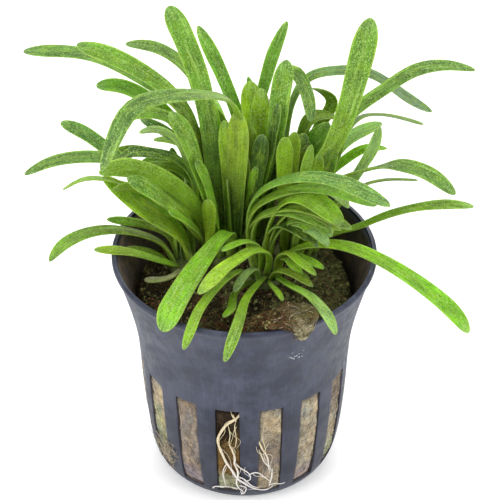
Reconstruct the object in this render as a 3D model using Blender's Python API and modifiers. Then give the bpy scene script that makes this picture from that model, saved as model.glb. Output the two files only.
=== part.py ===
"""Dwarf sagittaria in a plastic net pot, at its real size.

The pot stands on the plane z = 0 with its axis on z. +X is right and -Y is the front.
All the tables below are in millimetres and degrees; the meshes are made in metres.
"""

import bmesh
import bpy
import numpy as np
from mathutils import Matrix, Vector

MM = 0.001
GAP = 0.3  # clearance kept between pieces that touch
MERGE_METRES = 1e-6  # points closer than this are one point
CURVE_SAMPLES = 400  # points at which a smooth midline is measured

# Pot: (radius, height) down the outer side from the rim, then the wall and floor thickness
POT_HEIGHT = 52.0
RIM_RADIUS = 26.5
POT_OUTSIDE = (
    (RIM_RADIUS, POT_HEIGHT),
    (26.5, 51.0),
    (25.9, 50.2),
    (25.0, 47.0),
    (23.8, 42.5),
    (22.8, 38.2),
    (21.9, 33.0),
    (21.3, 24.0),
    (20.8, 16.0),
    (20.2, 10.0),
    (19.5, 5.6),
    (18.4, 2.4),
    (16.9, 0.7),
    (15.2, 0.0),
)
WALL = 1.0
FLOOR = 1.0
POT_SIDES = 45

# Slots in the lower half of the pot wall
SLOT_COUNT = 15
SLOT_WIDTH = 4.9
SLOT_TOP = 27.8
SLOT_BOTTOM = 3.6
FIRST_SLOT_ANGLE = -99.2
SLOT_CUT_FROM = 14.0
SLOT_CUT_TO = 24.0

# Fibre plug: its top from the middle to the edge. Below the last height it fills the pot's wall.
PLUG_TOP = 44.3
PLUG_SHOULDER = ((0.0, PLUG_TOP), (19.4, 44.0), (20.9, 43.2), (21.6, 41.2))
PLUG_WALL_BELOW = 39.0

# The tan lump that rises from the plug at the front right, and its lip that lies over the rim:
# (degrees from +X, distance from the axis, height), then the radii (along the rim, outwards, upwards)
LUMP_SUBDIVISIONS = 2
LUMP = ((-64.9, 19.8, 48.0), (5.4, 3.4, 6.0))
LIP = ((-66.0, 23.6, 53.5), (2.6, 4.2, 1.1))

# Crowns: the centre and radius of each short stem
CROWN_BOTTOM = PLUG_TOP + GAP
CROWN_TOP = 46.0
CROWN_TAPER = 0.9
CROWN_SIDES = 12
CROWNS = {
    "crown_main": (-4.8, 8.2, 3.7),
    "crown_left": (-12.2, 4.2, 3.2),
    "crown_rear_left": (-8.0, 13.6, 2.4),
    "crown_back": (2.2, 14.2, 3.2),
    "crown_right": (10.6, 8.8, 4.2),
    "crown_front": (3.9, 0.2, 3.5),
}

# Leaves: the blade's greatest width, the length over which its tip narrows, its twist in degrees at even
# steps from root to tip, and the points that its midline passes, from root to tip
LEAVES = {
    "main_leaf_1": (4.7, 5, (0, -52, -52), (
        (-5.2, 9.9, 46.3), (-6.2, 11, 62), (-7, 12.3, 74), (-9.2, 14, 85), (-12, 15.5, 93),
        (-14.6, 16, 99.3))),
    "main_leaf_2": (3.7, 7, (0, -25, -35), (
        (-6.8, 9.7, 46.3), (-8.7, 11, 61), (-10.2, 12, 73), (-14, 12.2, 80.7), (-21, 13.5, 86.4),
        (-26.6, 14.5, 89), (-33.1, 15, 91.2))),
    "main_leaf_3": (3.9, 5, (0, -10, -30), (
        (-2.6, 9, 46.3), (-1.5, 10.7, 62), (-1, 11, 74), (-2.5, 9.5, 81), (-7, 6, 85), (-15, 2.5, 87),
        (-21.6, -2, 86.4), (-24.6, -4, 81), (-26.8, -5, 75.2))),
    "main_leaf_4": (4.7, 6, (0, 80, 80), (
        (-6.9, 6.4, 46.3), (-8.4, 5.6, 54), (-10.7, 4.5, 61), (-15.5, 3, 67.1), (-20.3, 1.5, 70.6),
        (-25, 0, 72.2), (-27.7, -1, 72))),
    "main_leaf_5": (3.5, 5, (0, -60, -60), (
        (-7.9, 8.8, 46.3), (-10, 4.7, 53), (-12.4, 1.9, 59.2), (-15.7, 0.6, 64), (-18.8, -0.8, 68),
        (-22.4, -2.2, 71.4))),
    "main_leaf_6": (3.5, 6, (0, -80, -90), (
        (-5.4, 5.4, 46.3), (-6.1, 4.6, 53), (-6.8, 4.6, 59), (-9.2, 4.2, 69.5), (-12.3, 3.5, 79.8),
        (-14.2, 3, 83.2))),
    "main_leaf_7": (5.0, 5, (0, 0, -8), (
        (-3.2, 5.9, 46.3), (-3.2, 3, 54), (-6.4, -4, 55.6), (-8.5, -9, 55.9), (-10.6, -14, 55.8),
        (-12.7, -18.5, 54.9), (-14.4, -22.5, 53.7), (-15.5, -25, 51.6))),
    "main_leaf_8": (3.0, 6, (0, -30, -30), (
        (-3, 7.5, 46.3), (-3.2, 8, 62), (-3.9, 9, 77.2))),
    "rear_left_leaf_1": (3.2, 7, (0, -15, -20), (
        (-9.3, 14.8, 46.3), (-9.9, 15.1, 62), (-13.2, 15.5, 76), (-19.1, 16.3, 81), (-24.1, 17, 84),
        (-29.3, 17.5, 86.6), (-36.8, 18, 87.8), (-44.7, 18, 88))),
    "rear_left_leaf_2": (2.7, 6, (0, -25, -25), (
        (-7.4, 15.4, 46.3), (-6.7, 16.4, 62), (-7.6, 17.3, 75), (-10.5, 18.2, 82), (-14.4, 19, 86),
        (-17.5, 19.5, 87.6), (-24, 20, 88.4))),
    "rear_left_leaf_3": (3.2, 4.5, (0, -30, -30), (
        (-10, 13.2, 46.3), (-11.4, 13.2, 60), (-13.4, 13.7, 72.5), (-18.6, 14.3, 78.2), (-24.2, 15.3, 81),
        (-29.8, 16, 81))),
    "rear_left_leaf_4": (2.7, 5, (0, -30, -30), (
        (-8.8, 11.6, 46.3), (-9.8, 8.8, 60), (-10.9, 9.2, 71), (-14, 9.2, 77), (-18.1, 9, 79),
        (-22, 8.5, 79), (-25.9, 8, 77.2))),
    "left_leaf_1": (3.1, 5, (0, -25, -30), (
        (-12.2, 6.6, 46.3), (-15.6, 8.8, 57.2), (-22.4, 10.5, 64.2), (-27.8, 12, 68.2), (-31.7, 12.5, 71.3),
        (-37.2, 13, 74))),
    "left_leaf_2": (3.2, 11, (0, -20, -25), (
        (-13.8, 5, 46.3), (-13.9, 6, 54), (-15, 6.4, 60.7), (-19.5, 7, 66.3), (-25.4, 7, 69.2),
        (-31.3, 7, 69.8), (-38.2, 6.5, 68.9), (-43.7, 6, 66.2))),
    "left_leaf_3": (3.3, 7, (0, -50, -45, 20, 32), (
        (-10.6, 3.5, 46.3), (-12.2, 4.1, 52.3), (-15.8, 3.8, 57.7), (-19.4, 3.4, 61.8), (-25.9, 2.5, 67.3),
        (-31.8, 1.5, 68.2), (-35.3, 1, 66.3))),
    "left_leaf_4": (3.2, 10, (0, -10, -15), (
        (-14.4, 3.6, 46.3), (-16.2, 4.3, 49.8), (-19.2, 4.5, 51.8), (-22.8, 4.5, 53.1), (-26.4, 4, 54),
        (-32, 1.5, 54.8), (-36.7, -3, 54.5), (-38.4, -5.8, 53.6))),
    "left_leaf_5": (2.5, 6, (0, -10, -20), (
        (-13.8, 2.1, 46.4), (-15.8, 0.3, 48.6), (-19.2, -0.8, 50.9), (-22.8, -1.5, 52.6), (-26.4, -2, 53.5),
        (-29.8, -2.5, 54))),
    "left_leaf_6": (2.3, 5, (0, -20, -20), (
        (-13.8, 6.4, 46.4), (-15.8, 7.7, 50), (-18.8, 8.2, 51.6), (-21.8, 7.9, 52.8), (-24.9, 7.3, 53.8),
        (-27.7, 6.7, 54.6))),
    "left_leaf_7": (2.7, 5, (0, -20, -20), (
        (-10.6, 5.6, 46.3), (-10, 7.2, 57), (-10.7, 6.7, 66), (-14.4, 5.8, 70.8), (-18.3, 5, 72.2),
        (-22.2, 4.5, 72.6), (-24.4, 4, 71.1))),
    "left_leaf_8": (1.9, 4, (0, -20, -20), (
        (-11, 7, 46.3), (-11.2, 8.4, 60), (-12.7, 8, 71.7), (-15.7, 6.9, 76), (-18.2, 6.5, 76.7),
        (-20.5, 6, 76.3))),
    "back_leaf_1": (3.3, 8, (0, -50, -50), (
        (0.4, 15, 46.3), (0, 15.3, 60), (-0.2, 15.3, 68.2), (-2.5, 17, 77), (-5.5, 19, 84.3),
        (-9.3, 20, 92.6))),
    "back_leaf_2": (2.5, 8, (0, 69, 69), (
        (2, 16.2, 46.3), (1.6, 16, 63.6), (2.3, 16.4, 73), (4.2, 17.2, 81.5), (5.9, 17.7, 88),
        (8.5, 18, 94.8))),
    "back_leaf_3": (3.1, 5, (0, 30, 40), (
        (4, 13.6, 46.3), (4.9, 14, 62), (5.4, 14, 75.4), (7.3, 13, 84), (9.6, 12, 86.6), (12, 10.5, 83.4),
        (13.2, 9, 76.9))),
    "back_leaf_4": (4.0, 5, (0, 92, 97), (
        (2.6, 12.2, 46.3), (3.6, 10.5, 60), (4.6, 9.6, 67), (6.2, 9.7, 74.2), (7.1, 10.2, 82.5),
        (8.3, 11, 90))),
    "back_leaf_5": (2.6, 7, (0, 0, 35, 40), (
        (4.6, 15.4, 46.3), (8.5, 17, 68), (10.2, 18, 77), (12.8, 18.4, 81), (18, 18.5, 82.7),
        (24.7, 19, 82), (32.7, 19, 76.5), (38.7, 18, 73.2))),
    "back_leaf_6": (2.8, 6, (0, -20, -20), (
        (1, 12.8, 46.3), (0.8, 9.9, 60), (1.6, 9, 75.5))),
    "back_leaf_7": (3.2, 6, (0, 0, 0), (
        (1.7, 17.1, 46.3), (-3, 23.6, 60), (-6.5, 32, 65), (-9, 40, 61))),
    "back_leaf_8": (3.2, 6, (0, 0, 0), (
        (3.4, 16.6, 46.3), (5, 24, 59), (7, 33, 65), (8.5, 41, 60))),
    "right_leaf_1": (4.9, 6, (0, 72, 75), (
        (10.6, 7.4, 46.3), (11.4, 7.9, 56), (13.9, 8.5, 63.3), (17.2, 9, 70.6), (20.1, 9.5, 79.2),
        (21.9, 10, 87.6), (23.4, 11, 95), (24.2, 11.5, 99.2))),
    "right_leaf_2": (3.2, 12, (0, 25, 20), (
        (12.1, 11.2, 46.3), (13.6, 12.6, 60), (16.9, 12.8, 67), (20.7, 13.6, 74.6), (28.1, 14, 81.4),
        (33.7, 13, 86.3), (39.8, 11.5, 88.7), (45.9, 10, 88.6))),
    "right_leaf_3": (2.8, 5, (0, 0, 0), (
        (10.6, 12.2, 46.3), (12.6, 14.8, 62), (15.8, 16.4, 72), (17.4, 16.2, 77.6), (15.5, 15.8, 79.6),
        (13.6, 15.6, 80.4))),
    "right_leaf_4": (2.4, 5, (0, 10, 10), (
        (8.8, 11.4, 46.3), (10.6, 12, 62), (11.8, 11.4, 73), (13, 11.2, 76), (15.5, 12.1, 76.4),
        (18.8, 12.6, 75.2))),
    "right_leaf_5": (2.6, 6, (0, -38, -28, -30), (
        (13.4, 10.2, 46.3), (17.2, 14.2, 60), (21.8, 16, 71.3), (23.6, 16, 73.2), (26.5, 16, 73.9),
        (32.3, 16, 72.9), (36.7, 16, 71.4))),
    "right_leaf_6": (2.8, 5, (0, 30, 30), (
        (12.6, 8.9, 46.3), (15.8, 10.5, 62), (19.8, 11, 70.2), (22.7, 11.5, 72.4), (27.6, 12, 74.4))),
    "right_leaf_7": (2.9, 5, (0, 30, 30), (
        (13, 7.6, 46.3), (16.6, 7.8, 54), (19.9, 8.2, 59.5), (23, 8.7, 65.3), (25.7, 9, 70.9),
        (26.8, 9, 75.6))),
    "right_leaf_8": (3.0, 7, (0, -45, -38, -30, 45, 50), (
        (11.8, 6.5, 46.3), (14, 7.2, 57), (16.9, 6.8, 62.9), (24.8, 6, 67.7), (30.6, 5.5, 68.9),
        (36.4, 4.5, 67.4), (41.3, 4, 63))),
    "right_leaf_9": (2.6, 5, (0, 20, 20), (
        (11.2, 5.2, 46.3), (13.4, 5, 58), (15.2, 4.2, 64.3), (18.5, 3, 63.5), (20.5, 2, 61.1))),
    "right_leaf_10": (2.5, 8, (0, 20, 20), (
        (14.1, 6.7, 46.4), (16.2, 6.1, 50), (19, 5.4, 52.4), (22.6, 5, 54), (26, 4.5, 56.2),
        (33.7, 3, 60.4), (41, 1, 62.7), (44.6, 0, 63))),
    "right_leaf_11": (3.5, 6, (0, 10, 10), (
        (8.4, 7.2, 46.3), (8, 6, 60), (8, 5, 76))),
    "right_leaf_12": (3.0, 6, (0, -40, -40), (
        (9.6, 6, 46.3), (11.2, 5.4, 60), (13.1, 5.2, 74))),
    "right_leaf_13": (3.0, 6, (0, 0, 0), (
        (11.4, 12.6, 46.3), (13.4, 21, 56), (17, 28, 60), (21, 34, 56))),
    "front_leaf_1": (3.5, 8, (0, 15, 15), (
        (2.3, 2.2, 46.3), (1, 4.5, 56), (1.8, 4.3, 61), (4.1, 3, 65), (10.5, 0, 69.9), (17.3, -3, 71.5),
        (22.8, -5, 70.2), (27.8, -6, 67.7))),
    "front_leaf_2": (4.5, 7, (0, 20, 20), (
        (4.4, 1.9, 46.3), (4.8, 1.9, 54), (7.1, 0.8, 62.6), (11, -1, 66.2), (14.6, -2.5, 65.4),
        (17.4, -4, 63.7), (19, -5, 62.2))),
    "front_leaf_3": (3.7, 6, (0, 20, 15), (
        (6.4, 0.9, 46.4), (9.2, 0.5, 51), (13.6, 0, 53.2), (20.2, -2.5, 54.8), (28, -6.5, 53.8),
        (35.7, -12, 51.6), (41.7, -17.5, 48.7), (43.6, -19.7, 46.9))),
    "front_leaf_4": (2.9, 7, (0, -20, -20), (
        (4.4, -0.2, 46.3), (4.9, -1.8, 51.5), (4, -3, 54), (1.8, -4.5, 55.4), (-0.8, -8, 56.4),
        (-3.8, -12, 57), (-6.3, -16, 57), (-8.8, -19.2, 56.2))),
    "front_leaf_5": (2.3, 5, (0, 0, 0), (
        (1.6, -1, 46.4), (-1.2, -6, 51.2), (-4.8, -12.5, 53.2), (-7.5, -18.5, 53.9), (-8.9, -22, 53.8),
        (-10, -25.5, 53), (-11.5, -29, 50.5))),
    "front_leaf_6": (2.4, 6, (0, 0, 0), (
        (4, -2.5, 46.7), (1.9, -8, 48.6), (0.5, -13, 50.2), (-0.6, -21, 52.7), (-1.6, -26.5, 53),
        (-2.9, -30.5, 51.5), (-3.7, -32.2, 50.2))),
    "front_leaf_7": (2.4, 6, (0, 0, 0), (
        (6.3, -1.8, 46.6), (8.3, -7, 49.2), (10.2, -11, 51), (12.5, -15, 52.6), (14.8, -20, 53.6),
        (16.7, -24, 53), (17.5, -26, 51.7))),
    "front_leaf_8": (2.3, 5, (0, 0, 0), (
        (6.6, -0.6, 46.4), (7.1, -1.9, 52), (8.6, -3.2, 53.8), (10.7, -6.5, 54.4), (12.6, -9, 54.4),
        (14.1, -10.5, 53.8))),
    "front_leaf_9": (2.0, 4, (0, 0, 0), (
        (3.2, 0.9, 46.3), (2.6, -1.2, 54), (0, -4, 57.2), (-4.4, -8.6, 58.4))),
}

# How far a leaf's tip leans backwards and down or, where negative, forwards and up
LEAN_WAY = (0.0, 0.82, -0.57)
LEAN = {
    "main_leaf_1": 3,
    "main_leaf_2": 7,
    "main_leaf_3": -9,
    "main_leaf_4": -7,
    "main_leaf_5": -5,
    "main_leaf_6": -3,
    "rear_left_leaf_1": 14,
    "rear_left_leaf_2": 12,
    "rear_left_leaf_3": 9,
    "rear_left_leaf_4": 4,
    "left_leaf_1": 10,
    "left_leaf_2": 2,
    "left_leaf_3": -4,
    "left_leaf_7": -2,
    "back_leaf_1": 10,
    "back_leaf_2": 8,
    "back_leaf_3": 3,
    "back_leaf_5": 14,
    "right_leaf_2": 12,
    "right_leaf_3": 6,
    "right_leaf_4": 5,
    "right_leaf_5": 12,
    "right_leaf_6": 5,
    "right_leaf_8": -6,
    "right_leaf_9": -4,
    "right_leaf_10": -6,
    "front_leaf_1": -8,
    "front_leaf_2": -5,
}

# Young leaves, and one dead stub at the left, that are one piece with the crown they grow from
YOUNG_ROOT = 45.6
YOUNG = {
    "crown_main": (
        (3.0, 3, (0, -10, -10), ((-6.6, 5.2, YOUNG_ROOT), (-7, 2.5, 55), (-7, 2, 63.1))),
        (3.4, 5, (0, 70, 75), ((-1.8, 7.2, YOUNG_ROOT), (1.4, 7.8, 58), (3.6, 7.4, 75))),
    ),
    "crown_left": (
        (1.8, 2, (0, 0, 0), ((-13, 1.7, YOUNG_ROOT), (-16, -3, 47), (-20, -3.5, 47.1))),
        (2.4, 5, (0, -15, -15), (
            (-14.8, 3, YOUNG_ROOT), (-17.2, 2.2, 48.8), (-20.5, 1.6, 50.6), (-24, 1.1, 51.4))),
        (2.6, 5, (0, 0, 0), (
            (-12.3, 4.8, YOUNG_ROOT), (-12.7, 5.6, 56), (-13.6, 8, 64), (-14.4, 9.2, 70.5))),
    ),
    "crown_back": (
        (2.2, 5, (0, -30, -30), (
            (0.2, 16, YOUNG_ROOT), (-0.2, 20, 70.2), (1.4, 21.4, 74.5), (0.8, 22.1, 78.8))),
    ),
    "crown_right": (
        (1.8, 6, (0, -32, -32), (
            (12.8, 5.9, YOUNG_ROOT), (17, 4.8, 57.5), (24.2, 5, 64.7), (28.7, 5, 65.8), (34.3, 4, 66.3))),
        (3.4, 5, (0, 0, 0), ((9, 10.4, YOUNG_ROOT), (9.3, 8.9, 60), (9.8, 8.2, 75))),
        (3.2, 6, (0, 20, 20), (
            (8.5, 5.6, YOUNG_ROOT), (8.3, 3.2, 54), (9.8, 0.4, 60.6), (12.2, -1.4, 62.3),
            (15, -3, 61.3), (17.2, -4.2, 58.5))),
        (2.8, 4, (0, 70, 70), ((11.4, 10.3, YOUNG_ROOT), (11.9, 10.6, 58), (12.4, 10.7, 70))),
        (2.8, 5, (0, 20, 20), (
            (10.2, 5.3, YOUNG_ROOT), (10.4, 2.2, 53), (12, -1, 58.2), (14.4, -3.4, 59), (16.6, -5.6, 57.3))),
    ),
    "crown_front": (
        (1.9, 4, (0, 0, 0), (
            (2, -1.9, YOUNG_ROOT), (-1.6, -8, 47.8), (-2.3, -13, 49), (-2.6, -16, 49.7),
            (-4.1, -19, 50.2))),
        (2.1, 4, (0, 0, 0), ((2.8, -2, YOUNG_ROOT), (2, -4.4, 50.6), (0.1, -7.5, 51.5), (-2, -11.5, 50.4))),
        (1.3, 3, (0, 0, 0), ((5, -2.1, YOUNG_ROOT), (5.9, -8.6, 49.2), (6.9, -11, 49.6), (7.6, -13, 49.4))),
        (2.0, 4, (0, 0, 0), (
            (5.2, -1.9, YOUNG_ROOT), (7.6, -6.6, 51.8), (10.6, -9.1, 52.4), (13.5, -12, 52.2))),
    ),
}

# Leaf blades: length and degrees of roll between rings, where the roll is up to QUICKEST_PART times its
# average, thickness at root and tip, and the width profile
RING_STEP = 5.5
FEWEST_RINGS = 8
MOST_RINGS = 13
ROLL_STEP = 20.0
QUICKEST_PART = 1.5
ROOT_THICKNESS = 1.0
TIP_THICKNESS = 0.45
ROOT_WIDTH_SHARE = 0.5
WIDEST_AT = 0.86
WIDTH_POWER = 1.1
TIP_POWER = 0.62
LEAST_WIDTH_SHARE = 0.12

# Roots that show in two slots at the front: strands of (diameter, points), where a point is
# (degrees from the front, height, distance from the axis). The first strand carries the others.
ROOT_STEP = 2.2
FEWEST_ROOT_POINTS = 4
ROOTS = {
    "root_left_slot": (
        (0.7, ((-8, 25.9, 20.9), (-6, 23, 21.2), (-10, 20.8, 21.4), (-14, 18.2, 21.7), (-15.6, 15.6, 21.7),
               (-14, 12.6, 21.4), (-10.5, 9.4, 21.1), (-6.8, 6.8, 20.7), (-2, 4.8, 20.4), (3, 3.6, 20.2),
               (8, 2.5, 19.6), (14, 1.9, 19.2))),
        (0.5, ((-13.2, 11.6, 21.3), (-8.8, 12.2, 20.9), (-6.2, 10.6, 20.6), (-5.6, 8.4, 20.5),
               (-5.4, 6.2, 20.6))),
    ),
    "root_right_slot": (
        (0.5, ((9.6, 19, 20.6), (11.2, 16.2, 20.7), (13.4, 13.4, 20.6), (15.4, 10.6, 20.5), (16.2, 8, 20.2),
               (16, 5.8, 20))),
        (0.4, ((10.8, 16.8, 20.6), (10.8, 13.6, 20.5), (13, 10.4, 20.4), (16.2, 8, 20.2))),
    ),
}

# Finishes: colour and roughness
POT_FINISH = ((0.085, 0.095, 0.135), 0.42)
PLUG_FINISH = ((0.33, 0.25, 0.16), 0.95)
CROWN_FINISH = ((0.42, 0.47, 0.2), 0.6)
ROOT_FINISH = ((0.78, 0.62, 0.4), 0.6)
LEAF_FINISH = ((0.16, 0.36, 0.05), 0.45)


def clear_scene():
    """Removes every object, mesh, curve and collection that the file holds."""
    for obj in list(bpy.data.objects):
        bpy.data.objects.remove(obj, do_unlink=True)
    for group in (bpy.data.meshes, bpy.data.curves, bpy.data.materials, bpy.data.collections):
        for block in list(group):
            group.remove(block)


def new_collection(name):
    collection = bpy.data.collections.new(name)
    bpy.context.scene.collection.children.link(collection)
    return collection


def new_material(name, colour, roughness):
    material = bpy.data.materials.new(name)
    material.use_nodes = True
    shader = material.node_tree.nodes["Principled BSDF"]
    shader.inputs["Base Color"].default_value = (*colour, 1.0)
    shader.inputs["Roughness"].default_value = roughness
    shader.inputs["Metallic"].default_value = 0.0
    material.diffuse_color = (*colour, 1.0)
    return material


def new_object(name, data, collection, material=None):
    obj = bpy.data.objects.new(name, data)
    collection.objects.link(obj)
    if material:
        data.materials.append(material)
    return obj


def new_helper(name, data, collection):
    """An object that only cuts or is joined to a part: it is drawn as wires and not rendered."""
    obj = new_object(name, data, collection)
    obj.hide_render = True
    obj.display_type = "WIRE"
    return obj


def mesh_from(name, builder):
    """The mesh that a bmesh builder function makes, with its faces pointing out."""
    work = bmesh.new()
    builder(work)
    bmesh.ops.recalc_face_normals(work, faces=work.faces)
    mesh = bpy.data.meshes.new(name)
    work.to_mesh(mesh)
    work.free()
    return mesh


def add_boolean(obj, other, operation):
    modifier = obj.modifiers.new(f"{operation.lower()} {other.name}", "BOOLEAN")
    modifier.operation = operation
    modifier.object = other
    modifier.solver = "EXACT"


def turned(name, profile, collection, material):
    """A solid turned from a profile of (radius, height), from axis to axis down its outer side."""
    mesh = bpy.data.meshes.new(name)
    points = [(radius * MM, 0.0, height * MM) for radius, height in profile]
    mesh.from_pydata(points, [(i, i + 1) for i in range(len(points) - 1)], [])
    obj = new_object(name, mesh, collection, material)
    screw = obj.modifiers.new("turn", "SCREW")
    screw.axis = "Z"
    screw.steps = screw.render_steps = POT_SIDES
    screw.use_merge_vertices = True
    screw.merge_threshold = MERGE_METRES
    screw.use_smooth_shade = True
    return obj


def wall_inside(depth):
    """The pot's outline below its lip, moved in by a depth, with no point lower than that depth."""
    outline = POT_OUTSIDE[1:]
    moved = []
    for i in range(1, len(outline)):
        before = outline[i - 1]
        after = outline[min(i + 1, len(outline) - 1)]
        along = Vector((after[0] - before[0], after[1] - before[1])).normalized()
        radius = outline[i][0] + along.y * depth
        height = outline[i][1] - along.x * depth
        moved.append((radius, max(height, depth)))
    return moved


def build_pot(collection, cutters):
    """The pot: a turned wall and floor, with the slots cut through the wall."""
    inside = [(0.0, FLOOR)] + wall_inside(WALL)[::-1] + [(RIM_RADIUS - WALL, POT_HEIGHT)]
    profile = inside + list(POT_OUTSIDE) + [(0.0, 0.0)]
    pot = turned("net_pot", profile, collection, new_material("pot plastic", *POT_FINISH))
    size = ((SLOT_CUT_TO - SLOT_CUT_FROM) * MM, SLOT_WIDTH * MM, (SLOT_TOP - SLOT_BOTTOM) * MM)
    middle = (0.5 * (SLOT_CUT_FROM + SLOT_CUT_TO) * MM, 0.0, 0.5 * (SLOT_TOP + SLOT_BOTTOM) * MM)

    def slot_boxes(work):
        for i in range(SLOT_COUNT):
            turn = Matrix.Rotation(np.radians(FIRST_SLOT_ANGLE + i * 360.0 / SLOT_COUNT), 4, "Z")
            place = turn @ Matrix.Translation(middle) @ Matrix.Diagonal((*size, 1.0))
            bmesh.ops.create_cube(work, size=1.0, matrix=place)

    slots = new_helper("slots", mesh_from("slots", slot_boxes), cutters)
    add_boolean(pot, slots, "DIFFERENCE")


def around(degrees, distance, height):
    """A point of the pot's own round frame, in metres."""
    angle = np.radians(degrees)
    return Vector((distance * np.cos(angle), distance * np.sin(angle), height)) * MM


def build_plug(collection, cutters):
    """The fibre plug: it fills the pot, and a lump with a thin lip rises from it and lies over the rim."""
    filled = [point for point in wall_inside(WALL + GAP) if point[1] < PLUG_WALL_BELOW]
    profile = list(PLUG_SHOULDER) + filled + [(0.0, WALL + GAP)]
    plug = turned("rockwool_plug", profile, collection, new_material("rockwool", *PLUG_FINISH))
    for name, (place, radii) in (("lump", LUMP), ("lip", LIP)):
        # Local X runs outwards and local Y along the rim
        turn = Matrix.Rotation(np.radians(place[0]), 4, "Z")
        size = Matrix.Diagonal((radii[1] * MM, radii[0] * MM, radii[2] * MM, 1.0))
        matrix = Matrix.Translation(around(*place)) @ turn @ size

        def lump(work):
            bmesh.ops.create_icosphere(work, subdivisions=LUMP_SUBDIVISIONS, radius=1.0, matrix=matrix)

        helper = new_helper(name, mesh_from(name, lump), cutters)
        add_boolean(plug, helper, "UNION")


def spline(points, count):
    """A natural cubic spline through the points, read at even distances along it, and its length."""
    knots = np.array(points, float)
    steps = np.linalg.norm(np.diff(knots, axis=0), axis=1)
    along = np.r_[0.0, np.cumsum(steps)]
    size = len(knots)
    system = np.eye(size)
    slopes = np.zeros((size, 3))
    for i in range(1, size - 1):
        system[i, i - 1:i + 2] = (steps[i - 1], 2.0 * (steps[i - 1] + steps[i]), steps[i])
        slopes[i] = 6.0 * ((knots[i + 1] - knots[i]) / steps[i] - (knots[i] - knots[i - 1]) / steps[i - 1])
    bends = np.linalg.solve(system, slopes)
    fine = np.linspace(0.0, along[-1], CURVE_SAMPLES)
    i = np.clip(np.searchsorted(along, fine, side="right") - 1, 0, size - 2)
    step = steps[i][:, None]
    done = (fine - along[i])[:, None]
    left = step - done
    curve = (bends[i] * left ** 3 + bends[i + 1] * done ** 3) / (6.0 * step)
    curve += (knots[i] / step - bends[i] * step / 6.0) * left
    curve += (knots[i + 1] / step - bends[i + 1] * step / 6.0) * done
    travelled = np.r_[0.0, np.cumsum(np.linalg.norm(np.diff(curve, axis=0), axis=1))]
    even = np.linspace(0.0, travelled[-1], count)
    return np.stack([np.interp(even, travelled, curve[:, k]) for k in range(3)], axis=1), travelled[-1]


def unit(vectors):
    return vectors / np.linalg.norm(vectors, axis=-1, keepdims=True)


def blade_directions(centre, twists):
    """The blade's sideways and upward directions at each point of its midline, rolled by the twists."""
    tangent = unit(np.gradient(centre, axis=0))
    heading = centre[-1] - centre[0]
    sideways = unit(np.array([-heading[1], heading[0], 0.0]))
    sideways = unit(sideways - (tangent @ sideways)[:, None] * tangent)
    upward = np.cross(tangent, sideways)
    place = np.linspace(0.0, len(twists) - 1.0, len(centre))
    low = np.minimum(place.astype(int), len(twists) - 2)
    share = place - low
    share = share * share * (3.0 - 2.0 * share)
    twist = np.array(twists, float)
    roll = np.radians(twist[low] * (1.0 - share) + twist[low + 1] * share)[:, None]
    sideways = sideways * np.cos(roll) + upward * np.sin(roll)
    return sideways, np.cross(tangent, sideways)


def blade_width(share, length, tip):
    """Half the blade's width at a share of its length, as a share of its greatest width."""
    body = ROOT_WIDTH_SHARE + (1.0 - ROOT_WIDTH_SHARE) * np.clip(share / WIDEST_AT, 0.0, 1.0) ** WIDTH_POWER
    into_tip = np.clip((share * length - (length - tip)) / tip, 0.0, 1.0)
    return 0.5 * np.maximum(body * (1.0 - into_tip ** 2) ** TIP_POWER, LEAST_WIDTH_SHARE)


def ring_count(length, twists):
    """Rings by the blade's length, or more where it rolls so quickly that its two sides would meet."""
    by_length = np.clip(round(length / RING_STEP), FEWEST_RINGS, MOST_RINGS)
    quickest = QUICKEST_PART * np.abs(np.diff(twists)).max() * (len(twists) - 1)
    return int(max(by_length, np.ceil(quickest / ROLL_STEP)))


def blade_mesh(name, width, tip, twists, points):
    """A strap-shaped leaf: a loft of flat diamond sections along its midline, closed at both ends."""
    length = spline(points, 2)[1]
    rings = ring_count(length, twists)
    centre = spline(points, rings)[0]
    sideways, upward = blade_directions(centre, twists)
    share = np.linspace(0.0, 1.0, rings)[:, None]
    across = sideways * width * blade_width(share, length, tip)
    through = upward * 0.5 * (ROOT_THICKNESS + (TIP_THICKNESS - ROOT_THICKNESS) * share)
    corners = (across, through, -across, -through)

    def loft(work):
        loops = [[work.verts.new((centre[i] + corner[i]) * MM) for corner in corners] for i in range(rings)]
        for first, second in zip(loops[:-1], loops[1:]):
            for k in range(len(corners)):
                after = (k + 1) % len(corners)
                work.faces.new((first[k], first[after], second[after], second[k]))
        work.faces.new(loops[0][::-1])
        work.faces.new(loops[-1])

    return mesh_from(name, loft)


def build_crowns(collection, cutters):
    """The short stems, each with the young leaves that are one piece with it."""
    material = new_material("crown", *CROWN_FINISH)
    for name, (x, y, radius) in CROWNS.items():
        middle = Vector((x, y, 0.5 * (CROWN_BOTTOM + CROWN_TOP))) * MM

        def stem(work):
            bmesh.ops.create_cone(
                work, cap_ends=True, segments=CROWN_SIDES, matrix=Matrix.Translation(middle),
                radius1=radius * MM, radius2=radius * CROWN_TAPER * MM,
                depth=(CROWN_TOP - CROWN_BOTTOM) * MM)

        crown = new_object(name, mesh_from(name, stem), collection, material)
        for i, young in enumerate(YOUNG.get(name, ()), start=1):
            young_name = f"{name}_young_{i}"
            helper = new_helper(young_name, blade_mesh(young_name, *young), cutters)
            add_boolean(crown, helper, "UNION")


def leaned(points, lean):
    """The points of a midline, moved more and more along the lean's way from root to tip."""
    knots = np.array(points, float)
    travelled = np.r_[0.0, np.cumsum(np.linalg.norm(np.diff(knots, axis=0), axis=1))]
    share = travelled / travelled[-1]
    return knots + lean * np.outer(share ** 2, LEAN_WAY)


def build_leaves(collection):
    material = new_material("leaf", *LEAF_FINISH)
    for name, (width, tip, twists, points) in LEAVES.items():
        midline = leaned(points, LEAN.get(name, 0.0))
        new_object(name, blade_mesh(name, width, tip, twists, midline), collection, material)


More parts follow.
